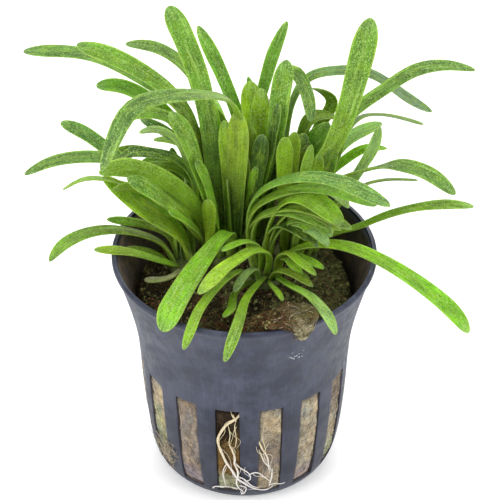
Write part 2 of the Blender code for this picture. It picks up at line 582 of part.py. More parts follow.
def tube(name, diameter, points, collection):
    """A round strand along a smooth curve through the points, as a closed mesh."""
    length = spline(points, 2)[1]
    route = spline(points, max(int(length / ROOT_STEP), FEWEST_ROOT_POINTS))[0] * MM
    curve = bpy.data.curves.new(name, "CURVE")
    curve.dimensions = "3D"
    curve.bevel_depth = 0.5 * diameter * MM
    curve.bevel_resolution = 1
    curve.use_fill_caps = True
    line = curve.splines.new("POLY")
    line.points.add(len(route) - 1)
    for point, place in zip(line.points, route):
        point.co = (*place, 1.0)
    drawn = new_object(name, curve, collection)
    evaluated = drawn.evaluated_get(bpy.context.evaluated_depsgraph_get())
    mesh = bpy.data.meshes.new_from_object(evaluated)
    work = bmesh.new()
    work.from_mesh(mesh)
    bmesh.ops.remove_doubles(work, verts=work.verts, dist=MERGE_METRES)
    bmesh.ops.recalc_face_normals(work, faces=work.faces)
    work.to_mesh(mesh)
    work.free()
    bpy.data.objects.remove(drawn, do_unlink=True)
    return mesh


def build_roots(collection, cutters):
    """The roots that come out of two slots and run down the outside of the pot."""
    material = new_material("root", *ROOT_FINISH)
    for name, strands in ROOTS.items():
        root = None
        for i, (diameter, points) in enumerate(strands):
            route = [around(degrees - 90.0, distance, height) / MM for degrees, height, distance in points]
            mesh = tube(f"{name}_strand_{i}", diameter, route, cutters)
            if root is None:
                root = new_object(name, mesh, collection, material)
            else:
                add_boolean(root, new_helper(f"{name}_strand_{i}", mesh, cutters), "UNION")


def main():
    clear_scene()
    parts = new_collection("potted_dwarf_sagittaria")
    cutters = new_collection("cutters")
    build_pot(parts, cutters)
    build_plug(parts, cutters)
    build_crowns(parts, cutters)
    build_leaves(parts)
    build_roots(parts, cutters)


main()
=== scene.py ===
"""The looks of a dwarf sagittaria in a plastic net pot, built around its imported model.

The tables are in millimetres and degrees, and the meshes are made in metres. +X is right, -Y is the front
and +Z is up; the pot stands on z = 0 with its axis on z.
"""

import bmesh
import bpy
import numpy as np
from mathutils import Matrix, Vector, noise
from mathutils.kdtree import KDTree


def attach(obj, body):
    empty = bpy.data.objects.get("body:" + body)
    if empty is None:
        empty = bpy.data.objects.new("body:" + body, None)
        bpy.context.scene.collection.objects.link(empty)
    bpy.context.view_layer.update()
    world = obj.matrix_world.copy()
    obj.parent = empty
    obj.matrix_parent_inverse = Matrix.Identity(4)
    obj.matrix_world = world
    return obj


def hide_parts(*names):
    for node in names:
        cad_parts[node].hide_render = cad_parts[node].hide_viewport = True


MM = 0.001

# Camera: its aim, its distance from it and its height above the horizon
CAMERA_AIM = (1.15, 0.0, 52.0)
CAMERA_DISTANCE = 460.0
CAMERA_ELEVATION = 37.8
CAMERA_LENS = 165.9
SENSOR_WIDTH = 36.0

# Lights: the place and the side of each panel in metres, and its power in watts
LIGHTS = {
    "sky_panel": ((0.0, 0.1, 0.75), 0.8, 2.8),
    "left_panel": ((-0.7, -0.45, 0.45), 0.5, 5.0),
    "right_panel": ((0.7, -0.35, 0.5), 0.5, 3.6),
    "back_panel": ((0.05, 0.8, 0.4), 0.5, 3.0),
}
SKY_STRENGTH = 0.55
FLOOR_GLOW = 0.25
FLOOR_REACH = 6.0

# Where the random numbers of each kind of piece start; a leaf's own start is its number
SEEDS = {
    "slot_fibres": 31,
    "surface_fibres": 32,
    "crumbs": 33,
    "scraps": 34,
    "roots": 60,
    "crowns": 200,
    "nested": 400,
}

# Pot: (radius, height) down the outer side from the rim
POT_HEIGHT = 52.0
WALL = 1.0
GAP = 0.3
EDGE_ROUNDING = 0.16
POT_LIP = ((25.6, 52.0), (26.25, 52.0), (26.5, 51.75), (26.5, 51.15), (26.3, 50.8), (26.0, 50.4))
POT_OUTSIDE = (
    (25.9, 50.2),
    (25.0, 47.0),
    (23.8, 42.5),
    (22.8, 38.2),
    (21.9, 33.0),
    (21.3, 24.0),
    (20.8, 16.0),
    (20.2, 10.0),
    (19.5, 5.6),
    (18.4, 2.4),
    (16.9, 0.7),
    (15.2, 0.0),
)
SLOT_COUNT = 15
SLOT_WIDTH = 4.9
SLOT_TOP = 27.8
SLOT_BOTTOM = 3.6
FIRST_SLOT_ANGLE = -99.2

# Pot mesh: its rings, the columns in a slot or a bar, and the radius inside which the slots' columns
# narrow towards the middle
POT_STEPS = 70
SLOT_COLUMNS = 8
COLUMNS_NARROW_INSIDE = 19.0

# Pot colours outside and, for the soil's two tones, inside, and the place of the lime specks on its collar
POT_TONES = {
    "slate": (0.023, 0.027, 0.047),
    "haze": (0.051, 0.057, 0.089),
    "dust": (0.45, 0.47, 0.50),
    "lime": (0.62, 0.64, 0.66),
    "soil": (0.105, 0.090, 0.084),
    "clay": (0.210, 0.155, 0.100),
}
LIME_PLACE = (10.6, -21.8, 42.6)

# Fibre plug: its top, and the lump at the front right with its lip over the rim and the lip's drooping end:
# (degrees from +X, distance from the axis, height), then the radii (along the rim, outwards, upwards)
PLUG_TOP = 44.3
PLUG_SHOULDER = ((0.0, PLUG_TOP), (19.4, 44.0), (20.9, 43.2), (21.6, 41.2))
PLUG_WALL_BELOW = 39.0
PLUG_SIDES = 90
PLUG_VOXEL = 0.42
LUMPS = (
    ((-65.0, 20.0, 46.9), (5.6, 3.5, 5.2)),
    ((-78.0, 20.0, 46.2), (5.6, 3.4, 4.4)),
    ((-64.0, 24.4, 53.1), (3.7, 3.2, 1.1)),
    ((-74.0, 24.8, 52.8), (3.6, 1.6, 0.6)),
    ((-65.0, 27.2, 52.0), (2.4, 0.9, 1.5)),
    ((-65.4, 27.4, 50.6), (1.2, 0.7, 1.2)),
)

# Colours of the fibre, the moss and the soil
STONE_WOOL = {
    "tan": (0.380, 0.320, 0.225),
    "straw": (0.440, 0.385, 0.280),
    "pink": (0.330, 0.270, 0.250),
    "green": (0.320, 0.320, 0.200),
    "umber": (0.270, 0.220, 0.170),
    "mauve": (0.260, 0.215, 0.210),
    "gold": (0.200, 0.125, 0.045),
    # Near-black painted shadow, for the top of the slot left of the middle and its loose fibres there
    "shadow_black": (0.034, 0.022, 0.012),
    "brown": (0.100, 0.062, 0.034),
    "peat": (0.030, 0.024, 0.010),
    "moss": (0.105, 0.110, 0.038),
    "rust": (0.110, 0.056, 0.024),
    "khaki": (0.110, 0.098, 0.036),
    "cream": (0.360, 0.325, 0.200),
}

# The rockwool's tones at the top, middle and foot of each slot, from the slot left of the middle to the
# right, and the heights under which a loose fibre takes the next of them
SLOT_TONES = (
    # This slot's near-black top is painted shadow
    ("shadow_black", "gold", "green"),
    ("tan", "umber", "tan"),
    ("tan", "tan", "pink"),
    ("umber", "tan", "green"),
    ("tan", "straw", "pink"),
    ("gold", "tan", "umber"),
    ("straw", "tan", "tan"),
    ("tan", "pink", "straw"),
    ("umber", "tan", "green"),
    ("tan", "green", "umber"),
    ("straw", "tan", "pink"),
    ("tan", "umber", "mauve"),
    ("straw", "tan", "green"),
    ("tan", "green", "mauve"),
    ("umber", "umber", "mauve"),
)
TONE_HEIGHTS = (19.0, 9.5)

# Loose fibres: how many lie in a slot, and how many in the slot with the long roots; then, for the
# plug's top and its lump, how many there are, their tones, and the ranges of their lengths and radii
FIBRE_SIDES = 4
SLOT_FIBRES = 46
ROOTED_SLOT_FIBRES = 150
TOP_FIBRES = (600, ("brown", "rust", "moss", "khaki", "gold"), (1.2, 4.5), (0.03, 0.06))
LUMP_FIBRES = (1500, ("khaki", "khaki", "khaki", "tan", "gold"), (1.5, 4.5), (0.03, 0.055))

# Scraps on the pot's side, round a place (degrees from +X, height), and crumbs on the plug
SCRAP_COUNT = 70
SCRAP_PLACE = (-143.0, 9.6)
CRUMB_COUNT = 3200
CRUMB_TONES = ("peat", "peat", "peat", "moss", "moss", "moss", "rust", "brown", "khaki")

# Crowns: the centre and radius of each short stem, and its rings from foot to top: (share of the radius,
# height over CROWN_TOP)
CROWN_TOP = 46.0
CROWN_SIDES = 64
CROWN_COLOUR = (0.10, 0.13, 0.04)
CROWN_RINGS = ((1.0, -2.0), (1.03, -1.2), (1.0, -0.5), (0.95, -0.1), (0.86, 0.12), (0.8, 0.0),
               (0.72, 0.1), (0.6, 0.22), (0.5, 0.1), (0.36, 0.24), (0.2, 0.2), (0.05, 0.28))
CROWNS = {
    "crown_main": (-4.8, 8.2, 3.7),
    "crown_left": (-12.2, 4.2, 3.2),
    "crown_rear_left": (-8.0, 13.6, 2.4),
    "crown_back": (2.2, 14.2, 3.2),
    "crown_right": (10.6, 8.8, 4.2),
    "crown_front": (3.9, 0.2, 3.5),
}

# Leaves: the blade's greatest width, the length over which its tip narrows, its twist in degrees at even
# steps from root to tip, how far its tip leans, its look (the tones of its lower part and of its tip, and
# how thick its pale flecks are), the sizes of the nested blades, which grow from the same sheath inside
# its curve, and the points that its midline passes, from root to tip
LEAVES = {
    "main_leaf_1": (4.7, 5, (0, -52, -52), 3, ("fresh", "fresh", 1.0), (0.62, 0.50), (
        (-5.2, 9.9, 46.3), (-6.2, 11, 62), (-7, 12.3, 74), (-9.2, 14, 85), (-12, 15.5, 93),
        (-14.6, 16, 99.3))),
    "main_leaf_2": (3.7, 7, (0, -25, -35), 7, ("olive", "fresh", 0.8), (0.60,), (
        (-6.8, 9.7, 46.3), (-8.7, 11, 61), (-10.2, 12, 73), (-14, 12.2, 80.7), (-21, 13.5, 86.4),
        (-26.6, 14.5, 89), (-33.1, 15, 91.2))),
    "main_leaf_3": (3.9, 16, (0, -10, -30), -9, ("lime", "blue", 0.9), (), (
        (-2.6, 9, 46.3), (-1.5, 10.7, 62), (-1, 11, 74), (-2.5, 9.5, 81), (-7, 6, 85), (-15, 2.5, 87),
        (-21.6, -2, 86.4), (-24.6, -4, 81), (-26.8, -5, 75.2))),
    "main_leaf_4": (4.7, 6, (0, 80, 80), -7, ("bright", "fresh", 0.8), (0.75,), (
        (-6.9, 6.4, 46.3), (-8.4, 5.6, 54), (-10.7, 4.5, 61), (-15.5, 3, 67.1), (-20.3, 1.5, 70.6),
        (-25, 0, 72.2), (-27.7, -1, 72))),
    "main_leaf_5": (3.5, 5, (0, -60, -60), -5, ("sunny", "fresh", 1.2), (0.84, 0.70), (
        (-7.9, 8.8, 46.3), (-10, 4.7, 53), (-12.4, 1.9, 59.2), (-15.7, 0.6, 64), (-18.8, -0.8, 68),
        (-22.4, -2.2, 71.4))),
    "main_leaf_6": (3.5, 6, (0, -80, -90), -3, ("bright", "fresh", 0.9), (0.70,), (
        (-5.4, 5.4, 46.3), (-6.1, 4.6, 53), (-6.8, 4.6, 59), (-9.2, 4.2, 69.5), (-12.3, 3.5, 79.8),
        (-14.2, 3, 83.2))),
    "main_leaf_7": (5.0, 5, (0, 0, -8), 0, ("bright", "bright", 1.2), (), (
        (-3.2, 5.9, 46.3), (-3.2, 3, 54), (-6.4, -4, 55.6), (-8.5, -9, 55.9), (-10.6, -14, 55.8),
        (-12.7, -18.5, 54.9), (-14.4, -22.5, 53.7), (-15.5, -25, 51.6))),
    "main_leaf_8": (3.0, 6, (0, -30, -30), 0, ("dark", "lime", 0.5), (0.80, 0.62), (
        (-3, 7.5, 46.3), (-3.2, 8, 62), (-3.9, 9, 77.2))),
    "rear_left_leaf_1": (3.2, 7, (0, -15, -20), 14, ("fresh", "blue", 0.7), (0.45,), (
        (-9.3, 14.8, 46.3), (-9.9, 15.1, 62), (-13.2, 15.5, 76), (-19.1, 16.3, 81), (-24.1, 17, 84),
        (-29.3, 17.5, 86.6), (-36.8, 18, 87.8), (-44.7, 18, 88))),
    "rear_left_leaf_2": (2.7, 6, (0, -25, -25), 12, ("fresh", "blue", 0.8), (0.50,), (
        (-7.4, 15.4, 46.3), (-6.7, 16.4, 62), (-7.6, 17.3, 75), (-10.5, 18.2, 82), (-14.4, 19, 86),
        (-17.5, 19.5, 87.6), (-24, 20, 88.4))),
    "rear_left_leaf_3": (3.2, 4.5, (0, -30, -30), 9, ("olive", "fresh", 0.7), (0.50,), (
        (-10, 13.2, 46.3), (-11.4, 13.2, 60), (-13.4, 13.7, 72.5), (-18.6, 14.3, 78.2),
        (-24.2, 15.3, 81), (-29.8, 16, 81))),
    "rear_left_leaf_4": (2.7, 5, (0, -30, -30), 4, ("fresh", "fresh", 0.6), (0.60,), (
        (-8.8, 11.6, 46.3), (-9.8, 8.8, 60), (-10.9, 9.2, 71), (-14, 9.2, 77), (-18.1, 9, 79),
        (-22, 8.5, 79), (-25.9, 8, 77.2))),
    "left_leaf_1": (3.1, 5, (0, -25, -30), 10, ("fresh", "blue", 0.9), (), (
        (-12.2, 6.6, 46.3), (-15.6, 8.8, 57.2), (-22.4, 10.5, 64.2), (-27.8, 12, 68.2),
        (-31.7, 12.5, 71.3), (-37.2, 13, 74))),
    "left_leaf_2": (3.2, 11, (0, -20, -25), 2, ("fresh", "blue", 0.7), (), (
        (-13.8, 5, 46.3), (-13.9, 6, 54), (-15, 6.4, 60.7), (-19.5, 7, 66.3), (-25.4, 7, 69.2),
        (-31.3, 7, 69.8), (-38.2, 6.5, 68.9), (-43.7, 6, 66.2))),
    "left_leaf_3": (3.3, 7, (0, -50, -45, 20, 32), -4, ("bright", "bright", 1.0), (), (
        (-10.6, 3.5, 46.3), (-12.2, 4.1, 52.3), (-15.8, 3.8, 57.7), (-19.4, 3.4, 61.8),
        (-25.9, 2.5, 67.3), (-31.8, 1.5, 68.2), (-35.3, 1, 66.3))),
    "left_leaf_4": (3.2, 10, (0, -10, -15), 0, ("olive", "fresh", 0.7), (), (
        (-14.4, 3.6, 46.3), (-16.2, 4.3, 49.8), (-19.2, 4.5, 51.8), (-22.8, 4.5, 53.1), (-26.4, 4, 54),
        (-32, 1.5, 54.8), (-36.7, -3, 54.5), (-38.4, -5.8, 53.6))),
    "left_leaf_5": (2.5, 6, (0, -10, -20), 0, ("bright", "yellow", 0.9), (), (
        (-13.8, 2.1, 46.4), (-15.8, 0.3, 48.6), (-19.2, -0.8, 50.9), (-22.8, -1.5, 52.6),
        (-26.4, -2, 53.5), (-29.8, -2.5, 54))),
    "left_leaf_6": (2.3, 5, (0, -20, -20), 0, ("olive", "fresh", 0.6), (), (
        (-13.8, 6.4, 46.4), (-15.8, 7.7, 50), (-18.8, 8.2, 51.6), (-21.8, 7.9, 52.8),
        (-24.9, 7.3, 53.8), (-27.7, 6.7, 54.6))),
    "left_leaf_7": (2.7, 5, (0, -20, -20), -2, ("fresh", "dark", 0.7), (0.84, 0.70), (
        (-10.6, 5.6, 46.3), (-10, 7.2, 57), (-10.7, 6.7, 66), (-14.4, 5.8, 70.8), (-18.3, 5, 72.2),
        (-22.2, 4.5, 72.6), (-24.4, 4, 71.1))),
    "left_leaf_8": (1.9, 4, (0, -20, -20), 0, ("olive", "pale", 0.6), (), (
        (-11, 7, 46.3), (-11.2, 8.4, 60), (-12.7, 8, 71.7), (-15.7, 6.9, 76), (-18.2, 6.5, 76.7),
        (-20.5, 6, 76.3))),
    "back_leaf_1": (3.3, 8, (0, -50, -50), 10, ("bright", "fresh", 1.0), (0.60,), (
        (0.4, 15, 46.3), (0, 15.3, 60), (-0.2, 15.3, 68.2), (-2.5, 17, 77), (-5.5, 19, 84.3),
        (-9.3, 20, 92.6))),
    "back_leaf_2": (3.375, 8, (0, 69, 69), 8, ("fresh", "fresh", 0.9), (0.60,), (
        (2, 16.2, 46.3), (1.6, 16, 63.6), (2.3, 16.4, 73), (4.2, 17.2, 81.5), (5.9, 17.7, 88),
        (8.5, 18, 94.8))),
    "back_leaf_3": (3.1, 5, (0, 30, 40), 3, ("fresh", "blue", 1.0), (0.60,), (
        (4, 13.6, 46.3), (4.9, 14, 62), (5.4, 14, 75.4), (7.3, 13, 84), (9.6, 12, 86.6),
        (12, 10.5, 83.4), (13.2, 9, 76.9))),
    "back_leaf_4": (4.0, 5, (0, 92, 97), 0, ("bright", "fresh", 1.0), (0.78, 0.62), (
        (2.6, 12.2, 46.3), (3.6, 10.5, 60), (4.6, 9.6, 67), (6.2, 9.7, 74.2), (7.1, 10.2, 82.5),
        (8.3, 11, 90))),
    "back_leaf_5": (2.6, 7, (0, 0, 35, 40), 14, ("fresh", "grey", 0.5), (0.45,), (
        (4.6, 15.4, 46.3), (8.5, 17, 68), (10.2, 18, 77), (12.8, 18.4, 81), (18, 18.5, 82.7),
        (24.7, 19, 82), (32.7, 19, 76.5), (38.7, 18, 73.2))),
    "back_leaf_6": (2.8, 6, (0, -20, -20), 0, ("dark", "olive", 0.3), (0.80,), (
        (1, 12.8, 46.3), (0.8, 9.9, 60), (1.6, 9, 75.5))),
    "back_leaf_7": (3.2, 6, (0, 0, 0), 0, ("fresh", "bright", 0.8), (), (
        (1.7, 17.1, 46.3), (-3, 23.6, 60), (-6.5, 32, 65), (-9, 40, 61))),
    "back_leaf_8": (3.2, 6, (0, 0, 0), 0, ("fresh", "bright", 0.8), (0.70,), (
        (3.4, 16.6, 46.3), (5, 24, 59), (7, 33, 65), (8.5, 41, 60))),
    "right_leaf_1": (4.9, 6, (0, 72, 75), 0, ("lime", "fresh", 1.1), (0.62, 0.50), (
        (10.6, 7.4, 46.3), (11.4, 7.9, 56), (13.9, 8.5, 63.3), (17.2, 9, 70.6), (20.1, 9.5, 79.2),
        (21.9, 10, 87.6), (23.4, 11, 95), (24.2, 11.5, 99.2))),
    "right_leaf_2": (3.2, 12, (0, 25, 20), 12, ("fresh", "blue", 1.0), (0.50,), (
        (12.1, 11.2, 46.3), (13.6, 12.6, 60), (16.9, 12.8, 67), (20.7, 13.6, 74.6), (28.1, 14, 81.4),
        (33.7, 13, 86.3), (39.8, 11.5, 88.7), (45.9, 10, 88.6))),
    "right_leaf_3": (2.8, 5, (0, 0, 0), 6, ("olive", "olive", 0.6), (0.50,), (
        (10.6, 12.2, 46.3), (12.6, 14.8, 62), (15.8, 16.4, 72), (17.4, 16.2, 77.6), (15.5, 15.8, 79.6),
        (13.6, 15.6, 80.4))),
    "right_leaf_4": (3.24, 6, (0, 10, 10), 5, ("dark", "olive", 0.6), (0.60,), (
        (8.8, 11.4, 46.3), (10.6, 12, 62), (11.8, 11.4, 73), (13, 11.2, 76), (15.5, 12.1, 76.4),
        (18.8, 12.6, 75.2))),
    "right_leaf_5": (2.6, 6, (0, -38, -28, -30), 12, ("fresh", "grey", 0.4), (), (
        (13.4, 10.2, 46.3), (17.2, 14.2, 60), (21.8, 16, 71.3), (23.6, 16, 73.2), (26.5, 16, 73.9),
        (32.3, 16, 72.9), (36.7, 16, 71.4))),
    "right_leaf_6": (2.8, 5, (0, 30, 30), 5, ("fresh", "pale", 0.9), (0.50,), (
        (12.6, 8.9, 46.3), (15.8, 10.5, 62), (19.8, 11, 70.2), (22.7, 11.5, 72.4), (27.6, 12, 74.4))),
    "right_leaf_7": (2.9, 5, (0, 30, 30), 0, ("fresh", "pale", 1.0), (), (
        (13, 7.6, 46.3), (16.6, 7.8, 54), (19.9, 8.2, 59.5), (23, 8.7, 65.3), (25.7, 9, 70.9),
        (26.8, 9, 75.6))),
    "right_leaf_8": (3.0, 7, (0, -45, -38, -30, 45, 50), -6, ("dark", "blue", 0.9), (), (
        (11.8, 6.5, 46.3), (14, 7.2, 57), (16.9, 6.8, 62.9), (24.8, 6, 67.7), (30.6, 5.5, 68.9),
        (36.4, 4.5, 67.4), (41.3, 4, 63))),
    "right_leaf_9": (2.6, 5, (0, 20, 20), -4, ("bright", "pale", 1.0), (0.50,), (
        (11.2, 5.2, 46.3), (13.4, 5, 58), (15.2, 4.2, 64.3), (18.5, 3, 63.5), (20.5, 2, 61.1))),
    "right_leaf_10": (2.5, 8, (0, 20, 20), -6, ("bright", "fresh", 0.9), (), (
        (14.1, 6.7, 46.4), (16.2, 6.1, 50), (19, 5.4, 52.4), (22.6, 5, 54), (26, 4.5, 56.2),
        (33.7, 3, 60.4), (41, 1, 62.7), (44.6, 0, 63))),
    "right_leaf_11": (3.5, 6, (0, 10, 10), 0, ("lime", "lime", 0.4), (0.80,), (
        (8.4, 7.2, 46.3), (8, 6, 60), (8, 5, 76))),
    "right_leaf_12": (3.0, 6, (0, -40, -40), 0, ("olive", "fresh", 0.6), (0.55,), (
        (9.6, 6, 46.3), (11.2, 5.4, 60), (13.1, 5.2, 74))),
    "right_leaf_13": (3.0, 6, (0, 0, 0), 0, ("fresh", "bright", 0.8), (), (
        (11.4, 12.6, 46.3), (13.4, 21, 56), (17, 28, 60), (21, 34, 56))),
    "front_leaf_1": (3.5, 8, (0, 15, 15), -8, ("fresh", "blue", 1.0), (0.86, 0.72, 0.60), (
        (2.3, 2.2, 46.3), (1, 4.5, 56), (1.8, 4.3, 61), (4.1, 3, 65), (10.5, 0, 69.9), (17.3, -3, 71.5),
        (22.8, -5, 70.2), (27.8, -6, 67.7))),
    "front_leaf_2": (4.5, 7, (0, 20, 20), -5, ("olive", "bright", 0.5), (0.86, 0.72, 0.60), (
        (4.4, 1.9, 46.3), (4.8, 1.9, 54), (7.1, 0.8, 62.6), (11, -1, 66.2), (14.6, -2.5, 65.4),
        (17.4, -4, 63.7), (19, -5, 62.2))),
    "front_leaf_3": (3.7, 6, (0, 20, 15), 0, ("lime", "bright", 0.8), (), (
        (6.4, 0.9, 46.4), (9.2, 0.5, 51), (13.6, 0, 53.2), (20.2, -2.5, 54.8), (28, -6.5, 53.8),
        (35.7, -12, 51.6), (41.7, -17.5, 48.7), (43.6, -19.7, 46.9))),
    "front_leaf_4": (2.9, 7, (0, -20, -20), 0, ("lime", "sunny", 1.0), (), (
        (4.4, -0.2, 46.3), (4.9, -1.8, 51.5), (4, -3, 54), (1.8, -4.5, 55.4), (-0.8, -8, 56.4),
        (-3.8, -12, 57), (-6.3, -16, 57), (-8.8, -19.2, 56.2))),
    "front_leaf_5": (2.3, 5, (0, 0, 0), 0, ("fresh", "bright", 0.7), (), (
        (1.6, -1, 46.4), (-1.2, -6, 51.2), (-4.8, -12.5, 53.2), (-7.5, -18.5, 53.9), (-8.9, -22, 53.8),
        (-10, -25.5, 53), (-11.5, -29, 50.5))),
    "front_leaf_6": (2.4, 6, (0, 0, 0), 0, ("bright", "fresh", 0.9), (), (
        (4, -2.5, 46.7), (1.9, -8, 48.6), (0.5, -13, 50.2), (-0.6, -21, 52.7), (-1.6, -26.5, 53),
        (-2.9, -30.5, 51.5), (-3.7, -32.2, 50.2))),
    "front_leaf_7": (2.4, 6, (0, 0, 0), 0, ("bright", "pale", 1.0), (), (
        (6.3, -1.8, 46.6), (8.3, -7, 49.2), (10.2, -11, 51), (12.5, -15, 52.6), (14.8, -20, 53.6),
        (16.7, -24, 53), (17.5, -26, 51.7))),
    "front_leaf_8": (2.3, 5, (0, 0, 0), 0, ("olive", "bright", 0.6), (0.84, 0.70), (
        (6.6, -0.6, 46.4), (7.1, -1.9, 52), (8.6, -3.2, 53.8), (10.7, -6.5, 54.4), (12.6, -9, 54.4),
        (14.1, -10.5, 53.8))),
    "front_leaf_9": (2.0, 4, (0, 0, 0), 0, ("fresh", "bright", 0.8), (), (
        (3.2, 0.9, 46.3), (2.6, -1.2, 54), (0, -4, 57.2), (-4.4, -8.6, 58.4))),
}

# The way that tips lean: backwards and down or, where a row's lean is negative, forwards and up
LEAN_WAY = (0.0, 0.82, -0.57)

# Young leaves, and one dead stub at the left, that are one piece with the crown they grow from: rows of the
# same kind, by crown
YOUNG_ROOT = 45.6
YOUNG = {
    "crown_main": (
        (3.0, 3, (0, -10, -10), 0, ("lime", "lime", 0.5), (), (
            (-6.6, 5.2, YOUNG_ROOT), (-7, 2.5, 55), (-7, 2, 63.1))),
        (3.4, 5, (0, 70, 75), 0, ("dark", "dark", 0.2), (0.75,), (
            (-1.8, 7.2, YOUNG_ROOT), (1.4, 7.8, 58), (3.6, 7.4, 75))),
    ),
    "crown_left": (
        (1.8, 2, (0, 0, 0), 0, ("beige", "beige", 0.3), (), (
            (-13, 1.7, YOUNG_ROOT), (-16, -3, 47), (-20, -3.5, 47.1))),
        (2.4, 5, (0, -15, -15), 0, ("olive", "olive", 0.4), (), (
            (-14.8, 3, YOUNG_ROOT), (-17.2, 2.2, 48.8), (-20.5, 1.6, 50.6), (-24, 1.1, 51.4))),
        (2.6, 5, (0, 0, 0), 0, ("dark", "olive", 0.4), (), (
            (-12.3, 4.8, YOUNG_ROOT), (-12.7, 5.6, 56), (-13.6, 8, 64), (-14.4, 9.2, 70.5))),
    ),
    "crown_back": (
        (2.2, 5, (0, -30, -30), 0, ("fresh", "bright", 0.8), (), (
            (0.2, 16, YOUNG_ROOT), (-0.2, 20, 70.2), (1.4, 21.4, 74.5), (0.8, 22.1, 78.8))),
    ),
    "crown_right": (
        (1.8, 6, (0, -32, -32), 0, ("fresh", "grey", 0.4), (), (
            (12.8, 5.9, YOUNG_ROOT), (17, 4.8, 57.5), (24.2, 5, 64.7), (28.7, 5, 65.8), (34.3, 4, 66.3))),
        (3.4, 5, (0, 0, 0), 0, ("olive", "lime", 0.3), (0.75,), (
            (9, 10.4, YOUNG_ROOT), (9.3, 8.9, 60), (9.8, 8.2, 75))),
        (3.2, 6, (0, 20, 20), 0, ("olive", "fresh", 0.6), (0.84,), (
            (8.5, 5.6, YOUNG_ROOT), (8.3, 3.2, 54), (9.8, 0.4, 60.6), (12.2, -1.4, 62.3),
            (15, -3, 61.3), (17.2, -4.2, 58.5))),
        (2.8, 4, (0, 70, 70), 0, ("dark", "olive", 0.3), (), (
            (11.4, 10.3, YOUNG_ROOT), (11.9, 10.6, 58), (12.4, 10.7, 70))),
        (2.8, 5, (0, 20, 20), 0, ("olive", "pale", 0.7), (0.80,), (
            (10.2, 5.3, YOUNG_ROOT), (10.4, 2.2, 53), (12, -1, 58.2), (14.4, -3.4, 59),
            (16.6, -5.6, 57.3))),
    ),
    "crown_front": (
        (1.9, 4, (0, 0, 0), 0, ("olive", "bright", 0.7), (), (
            (2, -1.9, YOUNG_ROOT), (-1.6, -8, 47.8), (-2.3, -13, 49), (-2.6, -16, 49.7),
            (-4.1, -19, 50.2))),
        (2.1, 4, (0, 0, 0), 0, ("pale", "pale", 0.8), (), (
            (2.8, -2, YOUNG_ROOT), (2, -4.4, 50.6), (0.1, -7.5, 51.5), (-2, -11.5, 50.4))),
        (1.3, 3, (0, 0, 0), 0, ("fresh", "bright", 0.8), (), (
            (5, -2.1, YOUNG_ROOT), (5.9, -8.6, 49.2), (6.9, -11, 49.6), (7.6, -13, 49.4))),
        (2.0, 4, (0, 0, 0), 0, ("olive", "olive", 0.4), (0.80,), (
            (5.2, -1.9, YOUNG_ROOT), (7.6, -6.6, 51.8), (10.6, -9.1, 52.4), (13.5, -12, 52.2))),
    ),
}

# Young leaves that fill the clump's middle, in the same way
INNER = {
    "crown_main": (
        (4.7, 6, (0, 0, 0), 0, ("dark", "yellow", 0.5), (), (
            (-1.8, 6.8, YOUNG_ROOT), (-1.7, 6.9, 58), (-1.2, 7.6, 70), (-1.2, 8.8, 79.4))),
    ),
    "crown_back": (
        (4.4, 5, (0, 0, 0), 0, ("lime", "sunny", 0.9), (), (
            (1.0, 13.4, YOUNG_ROOT), (1.6, 13.6, 60), (1.8, 14.4, 72), (1.2, 16.4, 81.5))),
        (4.0, 6, (0, 10, 10), 0, ("lime", "lime", 1.3), (), (
            (2.6, 12.9, YOUNG_ROOT), (2.9, 13, 60), (3.2, 13.4, 72), (3.4, 15.4, 80.5))),
    ),
    "crown_right": (
        (4.0, 6, (0, 60, 70), 0, ("olive", "fresh", 0.8), (), (
            (8.4, 11.4, YOUNG_ROOT), (11, 12, 60), (13, 12.4, 68), (16.8, 12.8, 74))),
        (4.2, 6, (0, 80, 80), 0, ("dark", "blue", 0.8), (), (
            (8.2, 10.6, YOUNG_ROOT), (9.6, 11, 60), (11.8, 11.4, 72.5))),
        (3.6, 6, (0, 80, 80), 0, ("lime", "lime", 0.5), (), (
            (9.8, 8, YOUNG_ROOT), (12.4, 7.6, 58), (15, 7.4, 70))),
    ),
    "crown_left": (
        (4.2, 9, (0, -40, -45), 0, ("sunny", "sunny", 1.3), (), (
            (-11, 4.6, YOUNG_ROOT), (-13.5, 2.6, 54), (-18.6, 1.2, 60), (-23.4, 0.4, 65.6),
            (-27.6, 0, 70))),
    ),
}

# Leaf blades: the width profile, as in the solids, and the finer shape of the section
ROOT_THICKNESS = 0.95
TIP_THICKNESS = 0.5
ROOT_WIDTH_SHARE = 0.5
WIDEST_AT = 0.86
WIDTH_POWER = 1.1
TIP_POWER = 0.5
BLADE_STEP = 0.9
TIP_RINGS = 12
ACROSS = 18
RIBS = 3
RIB_HEIGHT = 0.022
ROOT_FOLD = 0.55
BLADE_FOLD = 0.12
ROOT_OVERLAP = 0.8

# Leaf pattern: how far apart two blades lie in it, and the two sides of a blade
BLADES_APART = 11.0
SIDES_APART = 3.0

